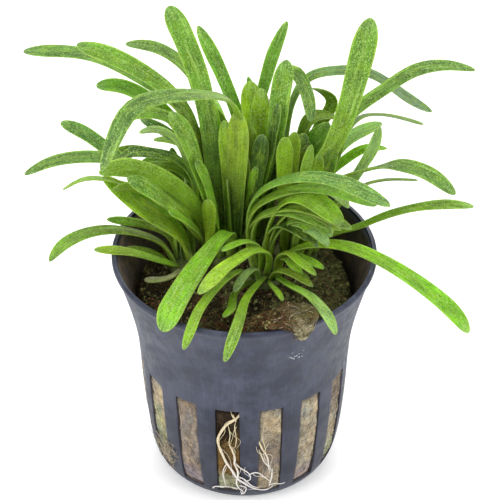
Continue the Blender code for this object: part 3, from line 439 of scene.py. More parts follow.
# Leaf colours: the tones of the looks, the marks on every blade, and two kinds of pale flecks: (how many
# there are on a millimetre, the size of one as a share of its cell, strength)
GREENS = {
    "fresh": (0.108, 0.222, 0.015),
    "bright": (0.155, 0.335, 0.007),
    "lime": (0.185, 0.330, 0.006),
    "yellow": (0.215, 0.310, 0.012),
    # sunny: a lighter, yellower copy of the green that paints light onto the leaves given it
    "sunny": (0.270, 0.430, 0.016),
    "olive": (0.090, 0.150, 0.005),
    "dark": (0.032, 0.075, 0.005),
    "blue": (0.084, 0.160, 0.030),
    "pale": (0.190, 0.300, 0.090),
    "grey": (0.120, 0.175, 0.090),
    "beige": (0.340, 0.320, 0.160),
}
LEAF_MARKS = {
    "yellow": (0.20, 0.31, 0.006),
    # streak: the colour of painted highlights along the blade
    "streak": (0.30, 0.45, 0.09),
    "groove": (0.24, 0.34, 0.05),
    "underside": (0.165, 0.275, 0.008),
    "fleck": (0.35, 0.52, 0.17),
    # rim: the colour of painted highlights on the blade's edges
    "rim": (0.30, 0.40, 0.10),
    "sheath": (0.22, 0.28, 0.09),
}
FLECKS = ((2.4, 0.44, 0.85), (4.4, 0.48, 0.70))

# The tones that nested blades draw from, and how thick their flecks are
NESTED_TONES = ("dark", "olive", "olive", "fresh", "fresh", "bright")
NESTED_FLECKS = 0.5

# Roots: strands of (diameter at the start, at the end, points), where a point is (degrees from the front,
# height, distance out of the pot's outer side)
ROOT_SIDES = 10
ROOT_STEP = 0.35
ROOT_SWELL = 0.3
ROOTLET_DIAMETER = 0.11
ROOTLET_WANDER = 2.2
ROOT_TONES = {
    "foot": (0.74, 0.71, 0.68),
    "ivory": (0.66, 0.56, 0.35),
    "bruise": (0.45, 0.33, 0.20),
}
ROOTS = {
    "root_left_slot": (
        (0.50, 0.20, ((-1.6, 27, -1.2), (-3.4, 26.5, -0.1), (-8.6, 24.6, 0.15), (-12.5, 22.1, 0.2),
                      (-14.4, 19.9, 0.2), (-14.1, 17.9, 0.15), (-12.4, 15.7, 0.1), (-9.8, 12.9, 0.15),
                      (-6.5, 10.6, 0.2), (-3.7, 8.6, 0.4), (-0.2, 7.4, 0.5), (2.7, 6.3, 0.45),
                      (7.6, 4.9, 0.35), (14.5, 4.3, 0.3), (17.5, 5.2, 0.2))),
        (0.26, 0.18, ((-7.6, 27.6, -1), (-6.9, 27, -0.4), (-6, 26.4, -0.1), (-5, 25.8, 0.05),
                      (-4.6, 25, 0))),
        (0.34, 0.20, ((-10, 18.3, -0.6), (-7.4, 17.7, -0.1), (-6.3, 16.3, 0), (-5.2, 14.7, 0.1),
                      (-5.6, 13.1, 0.1), (-3.9, 11.2, 0.25), (-3.9, 9.2, 0.35), (-4.6, 7.5, 0.35),
                      (-2.9, 5.4, 0.45), (-0.9, 4.2, 0.4), (-2.2, 2.8, 0.35))),
        (0.22, 0.14, ((-5.6, 13.1, 0.1), (-1.7, 11.9, 0.4), (1.7, 10.8, 0.4), (3.5, 9.1, 0.4),
                      (2.9, 8.2, 0.4), (0.6, 8.1, 0.4))),
        (0.22, 0.14, ((2.6, 9.9, 0.4), (5, 10.5, 0.4), (7.2, 10.4, 0.3), (10.4, 9.1, 0.1), (13.4, 7.7, 0.1),
                      (16, 6.6, 0.15))),
        (0.22, 0.14, ((-3.9, 9.2, 0.3), (-0.9, 8.8, 0.4), (1.8, 7.6, 0.4), (5.2, 6.1, 0.4),
                      (9, 5.4, 0.3))),
        (0.24, 0.14, ((-2.9, 6.4, 0.4), (0.4, 6, 0.4), (0.8, 4.6, 0.4), (-1.2, 3.2, 0.4),
                      (-2.4, 4.4, 0.4))),
        (0.24, 0.14, ((-19.6, 4, 0.3), (-18, 4.9, 0.35), (-15.8, 5.3, 0.4), (-13, 5.5, 0.4),
                      (-9.8, 5.8, 0.4), (-6.4, 5.6, 0.4), (-3.4, 5.2, 0.4))),
        (0.20, 0.12, ((-9.8, 12.9, 0.15), (-11.6, 11.4, 0.1), (-12.4, 9.8, 0.15), (-12.1, 8, 0.2),
                      (-10.8, 5.8, 0.35))),
        (0.18, 0.12, ((-9.5, 24.4, -0.4), (-8.2, 22.6, -0.1), (-7.8, 20.8, 0), (-8.4, 19, -0.05),
                      (-7, 16.6, -0.1))),
        (0.18, 0.12, ((-4.2, 25.6, -0.4), (-5.2, 23.6, -0.1), (-4.6, 21.4, 0), (-4.4, 19.6, -0.05),
                      (-5.4, 17.4, -0.1))),
        (0.18, 0.12, ((15.6, 5.8, 0.2), (18.6, 5.8, 0.25), (22, 5.3, 0.3), (25.4, 5.2, 0.3))),
    ),
    "root_right_slot": (
        (0.28, 0.20, ((6.8, 20.7, -0.7), (8.6, 18.6, 0), (10.9, 16.4, 0.1), (12.9, 14.6, 0.1),
                      (13.8, 12.6, 0.1), (14.2, 10.4, 0))),
        (0.24, 0.16, ((7, 17.6, -0.6), (9.8, 15, 0), (11.8, 12.9, 0.1), (13.6, 11.8, 0.1),
                      (15, 9.8, 0.05))),
        (0.24, 0.16, ((16.4, 10.6, -0.3), (16.2, 8.6, 0.1), (15.5, 6.6, 0.2), (14.8, 5.2, 0.3))),
        (0.16, 0.10, ((9.6, 20.2, -0.4), (11.2, 18, -0.05), (12.2, 15.6, 0), (13.4, 13, 0),
                      (15.4, 10.6, -0.05))),
    ),
}


class Finish:
    """A material with a Principled shader, and short calls that add a node and give its output."""

    def __init__(self, name, roughness):
        self.material = bpy.data.materials.new(name)
        self.material.use_nodes = True
        self.tree = self.material.node_tree
        self.shader = self.tree.nodes["Principled BSDF"]
        self.shader.inputs["Roughness"].default_value = roughness

    def add(self, kind, output, inputs=None, **settings):
        node = self.tree.nodes.new(kind)
        for name, value in settings.items():
            setattr(node, name, value)
        for key, value in (inputs or {}).items():
            self.feed(node.inputs[key], value)
        return node.outputs[output]

    def feed(self, socket, value):
        if isinstance(value, bpy.types.NodeSocket):
            self.tree.links.new(value, socket)
        else:
            socket.default_value = value

    def set(self, name, value):
        self.feed(self.shader.inputs[name], value)

    def attribute(self, name, output="Vector"):
        return self.add("ShaderNodeAttribute", output, attribute_name=name)

    def place(self):
        """The surface's place in the object's own frame, in millimetres."""
        here = self.add("ShaderNodeTexCoord", "Object")
        return self.scaled(here, (1.0 / MM, 1.0 / MM, 1.0 / MM))

    def scaled(self, vector, factors):
        return self.add("ShaderNodeVectorMath", "Vector", {0: vector, 1: factors}, operation="MULTIPLY")

    def parts(self, vector):
        node = self.tree.nodes.new("ShaderNodeSeparateXYZ")
        self.feed(node.inputs[0], vector)
        return node.outputs[0], node.outputs[1], node.outputs[2]

    def math(self, operation, first, second=0.0, clamp=False):
        inputs = {0: first, 1: second}
        return self.add("ShaderNodeMath", "Value", inputs, operation=operation, use_clamp=clamp)

    def at_scale(self, place, scale):
        """A texture's inputs at a scale, which is one number or one for each axis."""
        if isinstance(scale, tuple):
            return {"Vector": self.scaled(place, scale), "Scale": 1.0}
        return {"Vector": place, "Scale": scale}

    def noise(self, place, scale, detail=3.0, roughness=0.55):
        inputs = {**self.at_scale(place, scale), "Detail": detail, "Roughness": roughness}
        return self.add("ShaderNodeTexNoise", "Fac", inputs)

    def cells(self, place, scale):
        return self.add("ShaderNodeTexVoronoi", "Distance", self.at_scale(place, scale))

    def between(self, value, low, high, to_low=0.0, to_high=1.0):
        """Maps low..high to to_low..to_high with soft ends, and holds the ends outside it."""
        inputs = {"Value": value, "From Min": low, "From Max": high, "To Min": to_low, "To Max": to_high}
        return self.add("ShaderNodeMapRange", "Result", inputs, interpolation_type="SMOOTHSTEP")

    def mix(self, factor, first, second, blend="MIX"):
        first = first if isinstance(first, bpy.types.NodeSocket) else (*first, 1.0)
        second = second if isinstance(second, bpy.types.NodeSocket) else (*second, 1.0)
        inputs = {0: factor, 6: first, 7: second}
        return self.add("ShaderNodeMix", 2, inputs, data_type="RGBA", blend_type=blend)

    def dimmed(self, colour, value):
        """The colour times a grey value."""
        node = self.tree.nodes.new("ShaderNodeCombineColor")
        for socket in node.inputs:
            self.feed(socket, value)
        return self.mix(1.0, colour, node.outputs[0], blend="MULTIPLY")

    def mottled(self, colour, value, low, high):
        """The colour times a noise value that is spread from low to high."""
        return self.dimmed(colour, self.between(value, 0.3, 0.7, low, high))

    def bump(self, height, distance, strength=1.0):
        inputs = {"Height": height, "Distance": distance * MM, "Strength": strength}
        self.set("Normal", self.add("ShaderNodeBump", "Normal", inputs))

    def see_through(self, weight, radius, scale):
        """Light that passes under the surface: its share, how far each colour goes, and the scale."""
        self.set("Subsurface Weight", weight)
        self.set("Subsurface Radius", radius)
        self.set("Subsurface Scale", scale * MM)


def leaf_finish():
    """Waxy leaf: mottled green with long veins, painted highlight streaks and edges, dark pores, pale
    flecks and a yellower underside.
    """
    finish = Finish("leaf", 0.5)
    place = finish.attribute("place")
    across, side, _ = finish.parts(finish.attribute("blade"))
    across = finish.math("ABSOLUTE", across)
    colour = finish.attribute("tone", "Color")
    flecked = finish.attribute("tone", "Alpha")

    colour = finish.mottled(colour, finish.noise(place, (0.5, 0.2, 1.0)), 0.74, 1.26)
    veins = finish.noise(place, (2.8, 0.16, 1.0), 4.0, 0.65)
    colour = finish.mottled(colour, veins, 0.74, 1.24)
    yellow = finish.between(finish.noise(place, (0.8, 0.3, 1.0), 2.0), 0.5, 0.72, 0.0, 0.5)
    colour = finish.mix(yellow, colour, LEAF_MARKS["yellow"])
    # Painted highlights: pale streaks along the blade, stronger where the flecks are thick.
    streaks = finish.between(finish.noise(place, (1.7, 0.09, 1.0), 3.0, 0.6), 0.53, 0.68, 0.0, 0.8)
    streaks = finish.math("MULTIPLY", streaks, flecked, clamp=True)
    colour = finish.mix(streaks, colour, LEAF_MARKS["streak"])
    colour = finish.mix(finish.between(across, 0.03, 0.16, 0.25, 0.0), colour, LEAF_MARKS["groove"])
    colour = finish.mix(finish.between(side, -0.2, 0.2, 0.5, 0.0), colour, LEAF_MARKS["underside"])

    pores = finish.cells(place, (2.2, 1.5, 1.0))
    colour = finish.dimmed(colour, finish.between(pores, 0.1, 0.45, 0.6, 1.1))
    thick = finish.between(finish.noise(place, (0.6, 0.3, 1.0), 2.0), 0.3, 0.6, 0.55, 1.0)
    for density, size, strength in FLECKS:
        flecks = finish.cells(place, (density, 0.75 * density, 1.0))
        fleck = finish.between(flecks, 0.12, size, strength, 0.0)
        fleck = finish.math("MULTIPLY", finish.math("MULTIPLY", fleck, thick), flecked, clamp=True)
        colour = finish.mix(fleck, colour, LEAF_MARKS["fleck"])
    # Painted highlight: the blade's edges paler.
    colour = finish.mix(finish.between(across, 0.84, 0.98, 0.0, 0.4), colour, LEAF_MARKS["rim"])
    finish.set("Base Color", colour)

    fine = finish.noise(place, (5.0, 2.5, 1.0))
    finish.set("Roughness", finish.between(fine, 0.3, 0.7, 0.36, 0.6))
    finish.set("Specular IOR Level", 0.22)
    height = finish.math("ADD", finish.math("MULTIPLY", veins, 0.7), finish.math("MULTIPLY", fine, 0.3))
    finish.bump(height, 0.14, 0.8)
    finish.see_through(0.5, (0.7, 1.0, 0.15), 1.8)
    return finish.material


def pot_finish():
    """Satin plastic: dried water haze, rubbed streaks, lime specks, painted shade towards the bottom and,
    inside, dark soil stains with painted shade towards the right.
    """
    finish = Finish("pot_plastic", 0.42)
    place = finish.place()
    right, _, height = finish.parts(place)
    haze = finish.noise(place, 0.13, 5.0, 0.6)
    colour = finish.mix(finish.between(haze, 0.36, 0.66), POT_TONES["slate"], POT_TONES["haze"])
    cloud = finish.noise(place, 0.55, 5.0, 0.65)
    colour = finish.mottled(colour, cloud, 0.78, 1.22)
    streak = finish.noise(place, (1.6, 1.6, 0.12))
    colour = finish.mottled(colour, streak, 0.88, 1.12)
    # Painted shade: the outside grows darker towards the bottom.
    colour = finish.dimmed(colour, finish.between(height, 6.0, 36.0, 0.72, 1.0))

    dust = finish.between(finish.cells(place, 1.9), 0.02, 0.1, 0.5, 0.0)
    dusty = finish.between(finish.noise(place, 0.3, 2.0), 0.62, 0.72)
    colour = finish.mix(finish.math("MULTIPLY", dust, dusty), colour, POT_TONES["dust"])
    spot = finish.add("ShaderNodeVectorMath", "Value", {0: place, 1: LIME_PLACE}, operation="DISTANCE")
    near = finish.between(spot, 1.0, 2.2, 1.0, 0.0)
    lime = finish.between(finish.noise(place, 1.5), 0.58, 0.62, 0.0, 0.9)
    colour = finish.mix(finish.math("MULTIPLY", near, lime), colour, POT_TONES["lime"])

    soil = finish.noise(place, 0.42, 5.0, 0.7)
    stain = finish.mix(finish.between(soil, 0.42, 0.6), POT_TONES["soil"], POT_TONES["clay"])
    # Painted shade: the inner wall's stains grow darker towards the right.
    stain = finish.dimmed(stain, finish.between(right, 4.0, 20.0, 1.0, 0.4))
    finish.set("Base Color", finish.mix(finish.attribute("inside", "Fac"), colour, stain))
    finish.set("Roughness", finish.between(cloud, 0.3, 0.7, 0.38, 0.6))
    finish.set("Specular IOR Level", 0.3)
    finish.bump(finish.math("ADD", finish.math("MULTIPLY", cloud, 0.5), streak), 0.06, 0.5)
    return finish.material


def wool_finish():
    """Matted mineral fibre: coloured by region, with fine crossing strands, tufts and small pits of painted
    shade.
    """
    finish = Finish("rockwool", 0.95)
    finish.set("Specular IOR Level", 0.15)
    place = finish.place()
    upright = finish.noise(place, (3.0, 3.0, 0.7), 5.0, 0.65)
    level = finish.noise(place, (0.9, 0.9, 3.2), 5.0, 0.65)
    strands = finish.math("ADD", finish.math("MULTIPLY", upright, 0.5), finish.math("MULTIPLY", level, 0.5))
    tufts = finish.noise(place, 0.8, 4.0, 0.6)
    pits = finish.noise(place, 1.9, 4.0, 0.6)
    colour = finish.attribute("tint", "Color")
    colour = finish.dimmed(colour, finish.between(strands, 0.38, 0.62, 0.72, 1.24))
    colour = finish.mottled(colour, tufts, 0.74, 1.2)
    # Painted shade: small dark spots that stand for the shade in little hollows of the fibre.
    colour = finish.dimmed(colour, finish.between(pits, 0.3, 0.4, 0.5, 1.0))
    finish.set("Base Color", colour)
    finish.bump(finish.math("ADD", strands, finish.math("MULTIPLY", tufts, 0.6)), 0.22, 0.7)
    return finish.material


def tinted_finish(name, roughness, low, high):
    """A small-piece material: the mesh gives its colour, which varies finely between two levels."""
    finish = Finish(name, roughness)
    finish.set("Specular IOR Level", 0.15)
    grain = finish.noise(finish.place(), 2.4, 4.0, 0.65)
    finish.set("Base Color", finish.mottled(finish.attribute("tint", "Color"), grain, low, high))
    finish.bump(grain, 0.03, 0.6)
    return finish.material


def root_finish():
    """Living root: ivory, greyer at its foot, a little see-through, with brown bruises."""
    finish = Finish("root", 0.5)
    place = finish.place()
    height = finish.parts(place)[2]
    colour = finish.mix(finish.between(height, 8.0, 20.0), ROOT_TONES["foot"], ROOT_TONES["ivory"])
    bands = finish.noise(place, 1.1, 4.0, 0.6)
    colour = finish.mix(finish.between(bands, 0.5, 0.75, 0.0, 0.7), colour, ROOT_TONES["bruise"])
    fine = finish.noise(place, 5.0)
    finish.set("Base Color", finish.mottled(colour, fine, 0.85, 1.1))
    finish.see_through(0.15, (1.0, 0.7, 0.4), 0.5)
    finish.bump(fine, 0.06, 0.6)
    return finish.material


def floor_finish():
    """Pale studio board with a barely visible tooth."""
    finish = Finish("studio_board", 0.8)
    grain = finish.noise(finish.place(), 0.8)
    colour = finish.mix(finish.between(grain, 0.3, 0.7), (0.90, 0.90, 0.90), (0.93, 0.93, 0.93))
    finish.set("Base Color", colour)
    finish.set("Emission Color", (1.0, 1.0, 1.0, 1.0))
    finish.set("Emission Strength", FLOOR_GLOW)
    finish.set("Specular IOR Level", 0.1)
    return finish.material


def linked(name, data):
    """A new object of the data, in the scene."""
    thing = bpy.data.objects.new(name, data)
    bpy.context.scene.collection.objects.link(thing)
    return thing


def new_piece(name, points, faces, material, replaces=()):
    """A smooth mesh from points in millimetres, with its faces pointing out, riding on the plant's body."""
    mesh = bpy.data.meshes.new(name)
    mesh.from_pydata((np.asarray(points) * MM).tolist(), [], faces)
    work = bmesh.new()
    work.from_mesh(mesh)
    bmesh.ops.recalc_face_normals(work, faces=work.faces)
    work.to_mesh(mesh)
    work.free()
    mesh.materials.append(material)
    mesh.shade_smooth()
    piece = linked(name, mesh)
    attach(piece, "root")
    if replaces:
        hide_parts(*replaces)
    return piece


def paint(piece, name, values):
    """Stores one value, vector or colour for each point of the piece."""
    values = np.asarray(values, np.float32)
    kinds = {1: ("FLOAT", "value"), 3: ("FLOAT_VECTOR", "vector"), 4: ("FLOAT_COLOR", "color")}
    kind, field = kinds[values.size // len(values)]
    piece.data.attributes.new(name, kind, "POINT").data.foreach_set(field, values.ravel())


def tint(piece, colours):
    """Stores an opaque colour for each point of the piece."""
    paint(piece, "tint", np.concatenate((colours, np.ones((len(colours), 1))), axis=1))


def coordinates(piece):
    """The points of a piece's mesh in millimetres."""
    points = np.empty(len(piece.data.vertices) * 3, np.float32)
    piece.data.vertices.foreach_get("co", points)
    return points.reshape(-1, 3) / MM


def apply_modifiers(piece):
    """Makes what the modifiers give the piece's own mesh."""
    evaluated = piece.evaluated_get(bpy.context.evaluated_depsgraph_get())
    mesh = bpy.data.meshes.new_from_object(evaluated)
    piece.modifiers.clear()
    piece.data = mesh
    mesh.shade_smooth()


def loft_faces(rings, count):
    """Quads between closed rings of points, and a cap at each end."""
    start = np.arange(rings - 1)[:, None] * count + np.arange(count)
    after = np.arange(rings - 1)[:, None] * count + (np.arange(count) + 1) % count
    quads = np.stack((start, after, after + count, start + count), axis=-1).reshape(-1, 4).tolist()
    last = (rings - 1) * count
    return quads + [list(range(count))[::-1], list(range(last, last + count))]


def spline(points, shares):
    """A natural cubic spline through the points, read at shares of its length, and the length."""
    knots = np.array(points, float)
    steps = np.linalg.norm(np.diff(knots, axis=0), axis=1)
    along = np.r_[0.0, np.cumsum(steps)]
    size = len(knots)
    system = np.eye(size)
    slopes = np.zeros((size, 3))
    for i in range(1, size - 1):
        system[i, i - 1:i + 2] = (steps[i - 1], 2.0 * (steps[i - 1] + steps[i]), steps[i])
        slopes[i] = 6.0 * ((knots[i + 1] - knots[i]) / steps[i] - (knots[i] - knots[i - 1]) / steps[i - 1])
    bends = np.linalg.solve(system, slopes)
    fine = np.linspace(0.0, along[-1], 400)
    i = np.clip(np.searchsorted(along, fine, side="right") - 1, 0, size - 2)
    step = steps[i][:, None]
    done = (fine - along[i])[:, None]
    left = step - done
    curve = (bends[i] * left ** 3 + bends[i + 1] * done ** 3) / (6.0 * step)
    curve += (knots[i] / step - bends[i] * step / 6.0) * left
    curve += (knots[i + 1] / step - bends[i + 1] * step / 6.0) * done
    travelled = np.r_[0.0, np.cumsum(np.linalg.norm(np.diff(curve, axis=0), axis=1))]
    chosen = np.asarray(shares) * travelled[-1]
    return np.stack([np.interp(chosen, travelled, curve[:, k]) for k in range(3)], axis=1), travelled[-1]


def unit(vectors):
    return vectors / np.linalg.norm(vectors, axis=-1, keepdims=True)


def smooth_step(values, low, high):
    """0 below low, 1 above high, and a soft rise between them."""
    part = np.clip((values - low) / (high - low), 0.0, 1.0)
    return part * part * (3.0 - 2.0 * part)


def blended(first, second, share):
    """Colours between two, by each point's share of the second."""
    return first * (1.0 - share[:, None]) + second * share[:, None]


def polar(angle, distance, height):
    """Points at an angle from +X in radians, a distance from the pot's axis and a height."""
    flat = distance * np.cos(angle), distance * np.sin(angle)
    return np.stack(np.broadcast_arrays(*flat, height), axis=-1)


def around(degrees, distance, height):
    return polar(np.radians(degrees), distance, height)


def fractal(points, scale, octaves=3):
    """Smooth noise of about -1 to 1 at each point; scale is a factor for each axis."""
    scale = Vector(scale)
    return np.array([noise.fractal(Vector(point) * scale, 1.0, 2.0, octaves) for point in points])


def leaned(points, lean):
    """The points of a midline, moved more and more along the lean's way from root to tip."""
    knots = np.array(points, float)
    travelled = np.r_[0.0, np.cumsum(np.linalg.norm(np.diff(knots, axis=0), axis=1))]
    share = travelled / travelled[-1]
    return knots + lean * np.outer(share ** 2, LEAN_WAY)


def blade_directions(centre, shares, twists):
    """The blade's sideways and upward directions at each point of its midline, rolled by the twists."""
    tangent = unit(np.gradient(centre, shares, axis=0))
    heading = centre[-1] - centre[0]
    sideways = unit(np.array([-heading[1], heading[0], 0.0]))
    sideways = unit(sideways - (tangent @ sideways)[:, None] * tangent)
    upward = np.cross(tangent, sideways)
    place = shares * (len(twists) - 1.0)
    low = np.minimum(place.astype(int), len(twists) - 2)
    part = smooth_step(place - low, 0.0, 1.0)
    twist = np.array(twists, float)
    roll = np.radians(twist[low] * (1.0 - part) + twist[low + 1] * part)[:, None]
    sideways = sideways * np.cos(roll) + upward * np.sin(roll)
    return tangent, sideways, np.cross(tangent, sideways)


def blade_width(shares, length, tip):
    """Half the blade's width at shares of its length, as a share of its greatest width."""
    rise = np.clip(shares / WIDEST_AT, 0.0, 1.0) ** WIDTH_POWER
    body = ROOT_WIDTH_SHARE + (1.0 - ROOT_WIDTH_SHARE) * rise
    into_tip = np.clip((shares * length - (length - tip)) / tip, 0.0, 1.0)
    return 0.5 * np.maximum(body * (1.0 - into_tip ** 2) ** TIP_POWER, 0.01)


def blade_shares(length, tip):
    """Shares of a blade's length: at even steps down to the tip, then closer and closer to its end."""
    body = np.arange(0.0, length - tip, BLADE_STEP)
    end = length - tip * (1.0 - np.sin(np.linspace(0.0, 0.5 * np.pi, TIP_RINGS)))
    return np.concatenate((body, end)) / length


def blade_colours(look, shares, rng):
    """Each ring's colour, from the pale sheath at the root to the tip, and how thick its flecks are."""
    low, high, flecks = look or (*rng.choice(NESTED_TONES, 2), NESTED_FLECKS)
    colours = blended(GREENS[low], GREENS[high], smooth_step(shares, 0.25, 0.85))
    colours = colours * (1.0 + rng.uniform(-0.08, 0.08, 3)) * rng.uniform(0.92, 1.1)
    colours = blended(colours, LEAF_MARKS["sheath"], np.clip(1.0 - shares / 0.12, 0.0, 1.0) * 0.7)
    colours = blended(colours, GREENS["grey"], np.clip((shares - 0.93) / 0.07, 0.0, 1.0) * 0.55)
    return colours, flecks * (0.45 + 0.55 * shares)


def blade_section(width, half, shares, length, phase):
    """A ring's places across the blade, and how far each ring's points lie sideways and upward."""
    across = np.sin(np.linspace(-0.5 * np.pi, 0.5 * np.pi, ACROSS + 1))
    body = np.sqrt(np.maximum(1.0 - np.abs(across) ** 2.6, 0.0))
    ribs = np.cos(2.0 * np.pi * RIBS * across) * RIB_HEIGHT * body
    blunt = np.clip(half / (0.3 * width), 0.0, 1.0) ** 0.6
    thick = (ROOT_THICKNESS + (TIP_THICKNESS - ROOT_THICKNESS) * shares) * blunt
    fold = (BLADE_FOLD + ROOT_FOLD * np.exp(-shares / 0.14)) * half
    wave = 0.05 * half * np.sin(shares * length / 4.5 + phase[2])
    wave = wave + 0.03 * np.sin(shares * length / 1.9 + phase[3])
    lift = np.outer(fold, np.abs(across) ** 1.7 - 0.35) + np.outer(wave, across * np.abs(across))
    top = lift + np.outer(thick, 0.5 * body) + ribs
    low = lift - np.outer(thick, 0.5 * body) + ribs
    flat = np.outer(half, across)
    back = slice(ACROSS - 1, 0, -1)
    wide = np.concatenate((flat, flat[:, back]), axis=1)
    high = np.concatenate((top, low[:, back]), axis=1)
    return np.r_[across, across[back]], wide, high


def build_blade(name, node, row, number, material):
    """One strap-shaped leaf: channelled at its root, ribbed, with rounded edges and a blunt tip."""
    width, tip, twists, look, points = row
    rng = np.random.default_rng(number)
    length = spline(points, (0.0, 1.0))[1]
    shares = blade_shares(length, tip)
    centre = spline(points, shares)[0]
    tangent, sideways, upward = blade_directions(centre, shares, twists)
    centre[0] -= tangent[0] * ROOT_OVERLAP
    phase = rng.uniform(0.0, 2.0 * np.pi, 4)
    half = width * blade_width(shares, length, tip)
    half *= (1.0 + 0.025 * np.sin(shares * length / 6.0 + phase[0])
             + 0.02 * np.sin(shares * length / 2.7 + phase[1]))
    reach, wide, high = blade_section(width, half, shares, length, phase)
    rings = centre[:, None] + sideways[:, None] * wide[:, :, None] + upward[:, None] * high[:, :, None]

    count = len(reach)
    piece = new_piece(name, rings.reshape(-1, 3), loft_faces(len(shares), count), material, (node,))
    under = np.tile(np.arange(count) > ACROSS, len(shares))
    layer = BLADES_APART * number + SIDES_APART * under
    paint(piece, "place", np.stack((wide.ravel(), np.repeat(shares * length, count), layer), axis=1))
    blade = (np.tile(reach, len(shares)), 1.0 - 2.0 * under, np.zeros(len(under)))
    paint(piece, "blade", np.stack(blade, axis=1))
    colours, flecks = blade_colours(look, shares, rng)
    paint(piece, "tone", np.repeat(np.column_stack((colours, flecks)), count, axis=0))


def nested_row(row, size, rng):
    """A smaller copy of a leaf about its root, turned and leaned a little away from it."""
    width, tip, twists, _, points = row
    shares = np.linspace(0.0, 1.0, 7)
    line = spline(points, shares)[0]
    turn = Matrix.Rotation(np.radians(rng.uniform(-14.0, 14.0)), 3, "Z")
    line = line[0] + size * rng.uniform(0.94, 1.04) * (line - line[0]) @ np.array(turn).T
    way = rng.uniform(0.0, 2.0 * np.pi)
    line += np.outer(0.5 + rng.uniform(0.2, 1.6) * shares, (np.cos(way), np.sin(way), 0.0))
    twists = np.array(twists) + rng.uniform(-25.0, 25.0) * np.linspace(0.0, 1.0, len(twists))
    return max(width * rng.uniform(0.6, 0.9), 1.8), 0.8 * tip, twists, None, line


def build_sheath(name, node, row, number, material):
    """A leaf and the smaller blades that grow from its sheath, inside its curve."""
    width, tip, twists, lean, look, sizes, points = row
    row = (width, tip, twists, look, leaned(points, lean))
    build_blade(name, node, row, number, material)
    for i, size in enumerate(sizes, start=1):
        seed = SEEDS["nested"] + 10 * number + i
        nested = nested_row(row, size, np.random.default_rng(seed))
        build_blade(f"{name.removesuffix('_blade')}_nested_{i}", node, nested, seed, material)


def build_leaves(material):
    """Every leaf with a row in the tables; a leaf's number seeds its small differences."""
    rows = [(node + "_blade", node, row) for node, row in LEAVES.items()]
    for kind, table in (("young", YOUNG), ("inner", INNER)):
        for crown, young in table.items():
            rows += [(f"{crown}_{kind}_{i}", crown, row) for i, row in enumerate(young, start=1)]
    for number, (name, node, row) in enumerate(rows, start=1):
        build_sheath(name, node, row, number, material)


def build_crowns(material):
    """The short stems: low rounded stubs with sheath folds round them."""
    turns = np.linspace(0.0, 2.0 * np.pi, CROWN_SIDES, endpoint=False)
    for number, (name, (x, y, radius)) in enumerate(CROWNS.items()):
        rng = np.random.default_rng(SEEDS["crowns"] + number)
        phase = rng.uniform(0.0, 2.0 * np.pi, 3)
        folds = 1.0 + 0.035 * np.sin(5 * turns + phase[0]) + 0.03 * np.sin(9 * turns + phase[1])
        rings = []
        for share, rise in CROWN_RINGS:
            ripple = 0.06 * np.sin(7 * turns + phase[2] + 6.0 * share)
            rings.append(polar(turns, radius * share * folds, CROWN_TOP + rise + ripple) + (x, y, 0.0))
        faces = loft_faces(len(rings), CROWN_SIDES)
        piece = new_piece(name + "_stem", np.concatenate(rings), faces, material, (name,))
        tint(piece, np.tile(CROWN_COLOUR, (len(rings) * CROWN_SIDES, 1)))


def pot_profile():
    """The pot's outer side from the rim to the middle of its bottom, at close steps."""
    knots = [(radius, 0.0, height) for radius, height in POT_OUTSIDE]
    side = spline(knots, np.linspace(0.0, 1.0, POT_STEPS))[0][:, (0, 2)]
    rows = [tuple(point) for point in (*POT_LIP, *side)]
    rows = [row for row in rows if min(abs(row[1] - SLOT_TOP), abs(row[1] - SLOT_BOTTOM)) > 0.25]
    for height in (SLOT_TOP, SLOT_BOTTOM):
        rows.append((float(np.interp(height, side[::-1, 1], side[::-1, 0])), height))
    rows.sort(key=lambda row: (-row[1], -row[0] if row[1] < 1.0 else row[0]))
    return rows + [(radius, 0.0) for radius in (12.0, 8.0, 4.0)]


def pot_mesh():
    """The points and faces of the pot's outer skin, with its slots left open."""
    rows = pot_profile()
    sector = 2.0 * np.pi / SLOT_COUNT
    steps = np.arange(SLOT_COLUMNS) / SLOT_COLUMNS
    points = []
    for radius, height in rows:
        reach = np.arcsin(0.5 * SLOT_WIDTH / max(radius, COLUMNS_NARROW_INSIDE))
        angles = []
        for k in range(SLOT_COUNT):
            middle = np.radians(FIRST_SLOT_ANGLE) + k * sector
            angles += [*(middle + (2.0 * steps - 1.0) * reach)]
            angles += [*(middle + reach + steps * (sector - 2.0 * reach))]
        points.append(polar(np.array(angles), radius, height))
    count = len(points[0])
    faces = []
    for i in range(len(rows) - 1):
        open_here = SLOT_BOTTOM < 0.5 * (rows[i][1] + rows[i + 1][1]) < SLOT_TOP
        for k in range(count):
            if open_here and k % (2 * SLOT_COLUMNS) < SLOT_COLUMNS:
                continue
            after = (k + 1) % count
            faces.append((i * count + k, i * count + after, (i + 1) * count + after, (i + 1) * count + k))
    faces.append([(len(rows) - 1) * count + k for k in range(count)])
    used = sorted({corner for face in faces for corner in face})
    index = {old: new for new, old in enumerate(used)}
    return np.concatenate(points)[used], [[index[corner] for corner in face] for face in faces]


def build_pot(material):
    """The pot: its outer skin, thickened inwards, with rounded edges."""
    points, faces = pot_mesh()
    piece = new_piece("net_pot_shell", points, faces, material, ("net_pot",))
    paint(piece, "inside", np.zeros(len(points)))
    shell = piece.modifiers.new("wall", "SOLIDIFY")
    shell.thickness = WALL * MM
    shell.offset = -1.0
    bevel = piece.modifiers.new("edges", "BEVEL")
    bevel.width = EDGE_ROUNDING * MM
    bevel.segments = 2
    bevel.limit_method = "ANGLE"
    bevel.angle_limit = np.radians(50.0)
    apply_modifiers(piece)
    mark_inside(piece)


def pot_radius(height):
    """The pot's outer radius at a height."""
    outline = np.array(POT_OUTSIDE[::-1])
    return np.interp(height, outline[:, 1], outline[:, 0])


